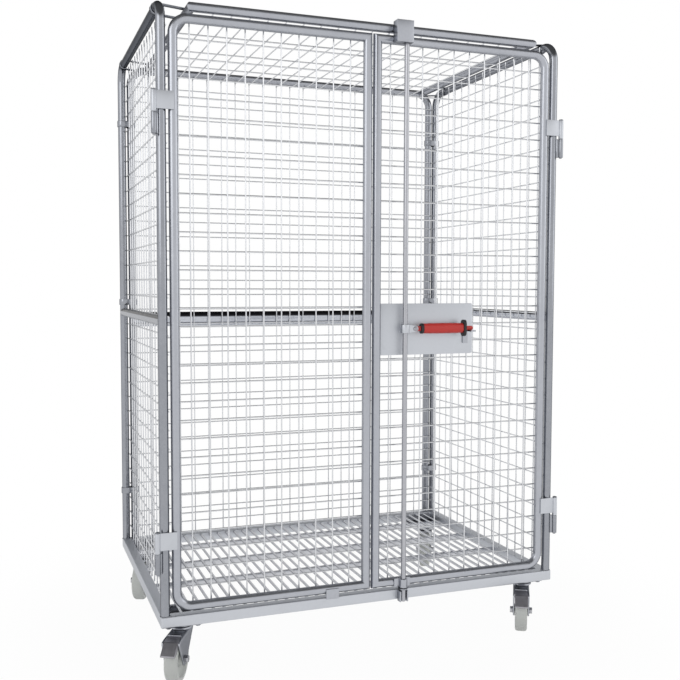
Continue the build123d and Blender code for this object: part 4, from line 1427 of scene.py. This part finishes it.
@dataclass
class Caster:
    """Swivel caster: bearing, pressed fork, axle bolt, wheel and, in front, a brake pedal."""

    corner: Corner
    wheel: float = 0.0625
    width: float = 0.036
    tyre: float = 0.014
    web: float = 0.007
    trail: float = 0.048
    lead: float = 0.030
    fork_half: float = 0.0225
    fork_bend: float = 0.006
    foot_gap: float = 0.0002
    steel: float = 0.004
    crown: float = 0.129
    crown_flat: float = 0.008
    leg_steps: int = 22
    bend_steps: int = 6
    sheet_steps: int = 10
    skirt: float = 0.008
    eye: float = 0.017
    hub: float = 0.020
    axle: float = 0.005
    axle_head: float = 0.009
    axle_across: float = 0.017
    washer: Point = (0.0105, 0.0014)
    pedal_angle: float = math.radians(50.0)
    pedal_slope: float = math.radians(212.0)
    pedal_travel: float = math.radians(15.0)
    pedal_rise: float = 0.011
    pedal_length: float = 0.038
    pedal_boss: float = 0.006
    pedal_tip: float = 0.003
    pedal_pin: float = 0.003
    pedal_gap: float = 0.001
    shoe: Point = (0.020, 0.006)
    shoe_gap: float = 0.0006
    hood: float = 0.0012
    hood_back: float = 0.007

    def __post_init__(self) -> None:
        """Find the caster's own axes from its joints, and the upper and outer faces of its fork."""
        self.label = self.corner.value
        spot = joint_place(f"{self.label}_caster_swivel")
        way = joint_place(f"{self.label}_wheel_roll") - spot
        self.place = upright(spot.x, spot.y, 0, math.atan2(way.y, way.x) + QUARTER)
        self.side_view = self.place @ TO_RIGHT
        centre = Matrix.Translation((0, -self.trail, self.wheel))
        self.axle_view = self.place @ centre @ Matrix.Rotation(QUARTER, 4, "Y")
        reach = self.wheel + self.pedal_rise
        self.pivot = (-self.trail - reach * math.cos(self.pedal_angle),
                      self.wheel + reach * math.sin(self.pedal_angle))
        self.top = self.crown + self.steel / 2
        self.outer = self.fork_half + self.steel / 2

    def build(self) -> None:
        """Make every turning piece of the caster."""
        self._fork()
        self._axle()
        self._wheel()
        if self.corner.braked:
            self._pedal()

    def _fork_outline(self) -> list[Point]:
        """Side of the fork, as length and height.

        Returns:
            Points of the outline, anticlockwise.
        """
        points = [(y, z) for y in (-self.trail, self.lead) for z in (self.top, self.top - self.skirt)]
        points += circle(-self.trail, self.wheel, self.eye, 48)
        if self.corner.braked:
            points += circle(*self.pivot, self.pedal_boss)
        return hull(points)

    def _fork_path(self) -> list[Point]:
        """Middle of the fork's sheet across the caster, up one leg, over the crown and down the other.

        Returns:
            Distance from the middle and height of each point.
        """
        bottom, bend = self.wheel - self.eye, self.fork_bend
        leg = self.crown - bend - bottom
        rise = [leg * (1 - math.cos(QUARTER * i / self.leg_steps)) for i in range(self.leg_steps + 1)]
        path = [(self.fork_half, bottom + max(height, self.foot_gap)) for height in rise]
        for turn in (QUARTER * i / self.bend_steps for i in range(1, self.bend_steps)):
            out, up = bend * math.cos(turn), bend * math.sin(turn)
            path.append((self.fork_half - bend + out, self.crown - bend + up))
        path += [(self.fork_half - bend, self.crown), (self.crown_flat, self.crown)]
        return path + [(-x, z) for x, z in reversed(path)]

    def _fork(self) -> None:
        """Sheet bent over the wheel, with its legs cut to the side outline, under a bearing race."""
        outline = self._fork_outline()

        def span(height: float) -> Point:
            """Ends of the side outline at a height.

            Args:
                height: The height.

            Returns:
                The two ends, rear first.
            """
            cuts = []
            for (ax, ay), (bx, by) in zip(outline, outline[1:] + outline[:1]):
                if (ay - height) * (by - height) <= 0 and ay != by:
                    cuts.append(ax + (bx - ax) * (height - ay) / (by - ay))
            return min(cuts), max(cuts)

        work, rows, steps = Workpiece(), [], self.sheet_steps
        for x, z in self._fork_path():
            start, end = span(min(z, self.crown - 0.0001))
            along = [start + (end - start) * i / steps for i in range(steps + 1)]
            rows.append([work.mesh.verts.new(self.place @ Vector((x, y, z))) for y in along])
        for low, high in zip(rows, rows[1:]):
            for i in range(steps):
                work.face((low[i], low[i + 1], high[i + 1], high[i]))
        name = f"{self.label}_fork"
        sheet = work.finish(f"{name}_sheet", bevel=0.0007, angle=50.0, wall=self.steel)
        race, narrow = Workpiece(), RACE - RACE_ROUND
        race.lathe([(narrow, self.top), (RACE, self.top + 0.0012), (RACE, self.top + 0.0058),
                    (narrow, self.top + 0.0070)], self.place, 44)
        pressing = joined(f"{name}_pressing", [sheet, race.finish(f"{name}_race", 0.0)])
        SHOP.place(f"{name}_pressing", pressing, f"{self.label}_swivel", Look.SATIN, [name])

    def _axle(self) -> None:
        """Bolt with a hexagon and a washer at each end."""
        work = Workpiece()
        work.pin(self.axle, -self.outer, self.outer, self.axle_view, 24)
        hexagon = circle(0, 0, self.axle_across / math.sqrt(3), 6)
        radius, thick = self.washer
        for sign in (-1, 1):
            low, high = sorted((sign * self.outer, sign * (self.outer + self.axle_head)))
            work.prism(hexagon, low, high, self.axle_view)
            low, high = sorted((sign * self.outer, sign * (self.outer + thick)))
            work.pin(radius, low, high, self.axle_view)
        name = f"{self.label}_axle"
        work.put(f"{name}_bolt", f"{self.label}_swivel", Look.ROD, [name], bevel=0.0006)

    def _wheel(self) -> None:
        """Turned wheel with a rounded tread, a dished web and a stepped hub."""
        half, out, hub, web = self.width / 2, self.wheel, self.hub, self.web
        rim = out - self.tyre
        tread = [(out, 0.0), (out, 0.010), (out - 0.0006, 0.0128), (out - 0.0020, 0.0152),
                 (out - 0.0042, 0.0171), (out - 0.0072, half), (rim + 0.0015, half), (rim, half - 0.0015)]
        dish = [(rim - 0.0015, web + 0.004), (rim - 0.0045, web + 0.0012), (rim - 0.008, web),
                (hub + 0.004, web), (hub + 0.0015, web + 0.0015), (hub, web + 0.004)]
        bore = [(hub - 0.001, half), (hub - 0.003, half + 0.002), (0.0075, half + 0.002),
                (0.0060, half + 0.001), (self.axle + 0.00005, half + 0.001)]
        side = tread + dish + bore
        other = [(radius, -height) for radius, height in reversed(side[1:])]
        work = Workpiece()
        work.lathe(side + other, self.axle_view, 72, ring=True)
        name = f"{self.label}_wheel"
        work.put(f"{name}_moulding", name, Look.WHEEL, [name], smooth=40.0)

    def _pedal(self) -> None:
        """Pressed pedal and its hood over the wheel, on a pin through the fork, clear of the tread."""
        node = f"{self.label}_brake_pedal"
        pivot = Vector(self.pivot)
        slope = Matrix.Rotation(self.pedal_slope, 2)
        tip = pivot + slope @ Vector((self.pedal_length, 0.0))
        arm = slope @ Vector(self.shoe)
        pressed = pivot + Matrix.Rotation(self.pedal_travel, 2) @ arm
        radius = math.hypot(pressed.x + self.trail, pressed.y - self.wheel) - self.wheel - self.shoe_gap
        boss = circle(*pivot, self.pedal_boss, 28)
        press = hull(boss + circle(*tip, self.pedal_tip, 20) + circle(*(pivot + arm), radius))
        hood = hull(boss + circle(-self.trail - self.hood_back, self.crown, self.hood, 12))
        half = self.fork_half - self.steel / 2 - self.pedal_gap
        work = Workpiece()
        for outline in (press, hood):
            work.prism(outline, -half, half, self.side_view)
        across = self.side_view @ Matrix.Translation((*pivot, 0))
        work.pin(self.pedal_pin, -self.outer, self.outer, across, 20)
        work.put(f"{node}_pressing", f"{self.label}_pedal", Look.DARK, [node], bevel=0.0011, segments=3)


@dataclass
class CasterPlates:
    """Fixed plates of the four casters with their races, pins and bolts."""

    steel: float = 0.004
    size: Point = (0.105, 0.085)
    corner: float = 0.008
    king_pin: float = 0.006
    bolt_x: float = 0.040
    bolt_y: float = 0.030
    bolt_across: float = 0.013
    washer: float = 0.008

    def build(self) -> None:
        """Make the plates, the upper races and the bolts."""
        room, bolts = Room.of("caster_plates"), Room.of("caster_bolts")
        plate = room.high.z - self.steel
        race = [(RACE - RACE_ROUND, plate - 0.0075), (RACE, plate - 0.0063), (RACE, plate - 0.001),
                (RACE + 0.002, plate)]
        work = Workpiece()
        seats = []
        for corner in Corner:
            spot = joint_place(f"{corner.value}_caster_swivel")
            place = upright(spot.x, spot.y)
            work.prism(rounded(*self.size, self.corner, 5), plate, room.high.z, place)
            work.lathe(race, place, 44)
            work.pin(self.king_pin, room.low.z, plate, place, 24)
            seats += [Vector((spot.x + x, spot.y + y, plate))
                      for x in (-self.bolt_x, self.bolt_x) for y in (-self.bolt_y, self.bolt_y)]
        work.put("caster_plate_set", "cage", Look.BRIGHT, ["caster_plates"], bevel=0.0007)
        heads = SHOP.bolts("caster_bolt_heads", seats, self.bolt_across, plate - bolts.low.z, self.washer)
        SHOP.place("caster_bolt_heads", heads, "cage", Look.BRIGHT, ["caster_bolts"])


@dataclass
class Studio:
    """Pale floor, soft light and the camera of the photograph."""

    lens: float = 48.285
    sensor: float = 36.0
    sight: float = 60.0
    eye: Place = (-0.98188, -2.75333, 1.06398)
    yaw: float = math.radians(20.392)
    pitch: float = math.radians(3.437)
    roll: float = math.radians(0.162)
    floor_half: float = 14.0
    floor_shade: float = 0.86
    shadow_reach: Point = (0.6, 1.4)
    shadow_glow: Point = (0.965, 1.0)
    ceiling_rise: Point = (0.42, 0.70)
    ceiling_glow: Point = (1.0, 0.15)
    aim: Place = (0.0, 0.0, 0.9)
    lamp_size: float = 2.4

    def build(self) -> None:
        """Set up the whole studio."""
        self._floor()
        self._world()
        self._lamp("left_softbox", (-3.2, -2.2, 2.6), 22.0)
        self._lamp("right_softbox", (3.4, -1.6, 2.2), 14.0)
        self._camera()

    @staticmethod
    def _bare_sheet(owner: Any) -> NodeSheet:
        """Empty tree of a material or a world.

        Args:
            owner: The material or the world.

        Returns:
            Its tree, without nodes.
        """
        owner.use_nodes = True
        owner.node_tree.nodes.clear()
        return NodeSheet(owner.node_tree)

    def _floor(self) -> None:
        """Wide floor that looks white and keeps the container's shadow."""
        mesh = bpy.data.meshes.new("studio_floor")
        far = self.floor_half
        mesh.from_pydata([(-far, -far, 0), (far, -far, 0), (far, far, 0), (-far, far, 0)], [], [(0, 1, 2, 3)])
        material = bpy.data.materials.new("pale_floor")
        sheet = self._bare_sheet(material)
        path = sheet.add("ShaderNodeLightPath")
        seen = sheet.compute("MAXIMUM", path["Is Camera Ray"], path["Is Glossy Ray"])
        seen = sheet.compute("MAXIMUM", seen, path["Is Transmission Ray"])
        place = sheet.add("ShaderNodeTexCoord")["Object"]
        away = sheet.add("ShaderNodeVectorMath", {0: place}, operation="LENGTH")["Value"]
        glow = sheet.ramp(away, self.shadow_reach, self.shadow_glow, "SMOOTHSTEP")
        pale = sheet.add("ShaderNodeBsdfDiffuse", {"Color": (*[self.floor_shade] * 3, 1.0)})[0]
        mixed = sheet.add("ShaderNodeMixShader", {
            "Fac": sheet.compute("MULTIPLY", seen, glow), 1: pale, 2: sheet.add("ShaderNodeEmission")[0]})[0]
        sheet.add("ShaderNodeOutputMaterial", {"Surface": mixed})
        mesh.materials.append(material)
        linked_object("studio_floor", mesh)

    def _world(self) -> None:
        """White room with a dark ceiling, which the tubes mirror."""
        world = bpy.data.worlds.new("studio_room")
        bpy.context.scene.world = world
        sheet = self._bare_sheet(world)
        place = sheet.add("ShaderNodeTexCoord")["Generated"]
        height = sheet.add("ShaderNodeSeparateXYZ", {0: place})["Z"]
        glow = sheet.ramp(height, self.ceiling_rise, self.ceiling_glow, "SMOOTHSTEP")
        back = sheet.add("ShaderNodeBackground", {"Color": glow})[0]
        sheet.add("ShaderNodeOutputWorld", {"Surface": back})

    def _lamp(self, name: str, place: Place, power: float) -> None:
        """Large soft lamp that points at the container.

        Args:
            name: Name of the lamp.
            place: Where it hangs.
            power: Its power in watts.
        """
        lamp = bpy.data.lights.new(name, "AREA")
        lamp.energy, lamp.size = power, self.lamp_size
        holder = linked_object(name, lamp)
        holder.location = place
        holder.rotation_euler = (Vector(self.aim) - Vector(place)).to_track_quat("-Z", "Y").to_euler()

    def _camera(self) -> None:
        """Camera where the photograph was taken from."""
        forward = Vector((math.sin(self.yaw), math.cos(self.yaw), 0))
        right = Vector((math.cos(self.yaw), -math.sin(self.yaw), 0))
        up = Vector((0, 0, 1))
        look = forward * math.cos(self.pitch) - up * math.sin(self.pitch)
        level_up = up * math.cos(self.pitch) + forward * math.sin(self.pitch)
        x_axis = right * math.cos(self.roll) + level_up * math.sin(self.roll)
        y_axis = level_up * math.cos(self.roll) - right * math.sin(self.roll)
        turn = Matrix((x_axis, y_axis, -look)).transposed()
        camera = bpy.data.cameras.new("photo_camera")
        camera.lens, camera.sensor_width = self.lens, self.sensor
        camera.clip_end = self.sight
        holder = linked_object("photo_camera", camera)
        holder.matrix_world = Matrix.Translation(self.eye) @ turn.to_4x4()
        bpy.context.scene.camera = holder
        bpy.context.scene.view_settings.view_transform = "Standard"


def main() -> None:
    """Build the container piece by piece, then the studio."""
    logging.basicConfig(level=logging.INFO, format="%(name)s: %(message)s")
    upper = (0.0, TUBE / 2)
    hinges = [Hinges(side) for side in Side]
    pieces = [
        Base(),
        *(ArchFrame(f"{side.label}_side_frame", Level.SIDE) for side in Side),
        ArchFrame("back_frame", Level.FRONT),
        RingFrame("roof_frame", "cage", Level.ROOF, Corners.MITRED),
        RingFrame("left_door_frame", "left_door", Level.FRONT, Corners.BENT_LEFT),
        RingFrame("right_door_frame", "right_door", Level.FRONT, Corners.BENT_RIGHT),
        *(WirePanel(f"{side.label}_mesh", "cage", Level.SIDE, True, -side.value, upper) for side in Side),
        WirePanel("back_mesh", "cage", Level.FRONT, True, -1, upper),
        WirePanel("roof_mesh", "cage", Level.ROOF, False, -1, row_count=3),
        *(WirePanel(f"{side.label}_door_mesh", f"{side.label}_door", Level.FRONT, False, 1) for side in Side),
        *(MidRail(f"{side.label}_mid_rail", Level.SIDE) for side in Side),
        MidRail("back_mid_rail", Level.FRONT),
        Clamps("panel_clamps"),
        Clamps("roof_clamps"),
        *hinges,
    ]
    for piece in pieces:
        piece.build()
    HingePins().build(hinges)
    for piece in (Lock(), Handle(), CasterPlates(), *(Caster(corner) for corner in Corner), Studio()):
        piece.build()


if __name__ == "__main__":
    main()
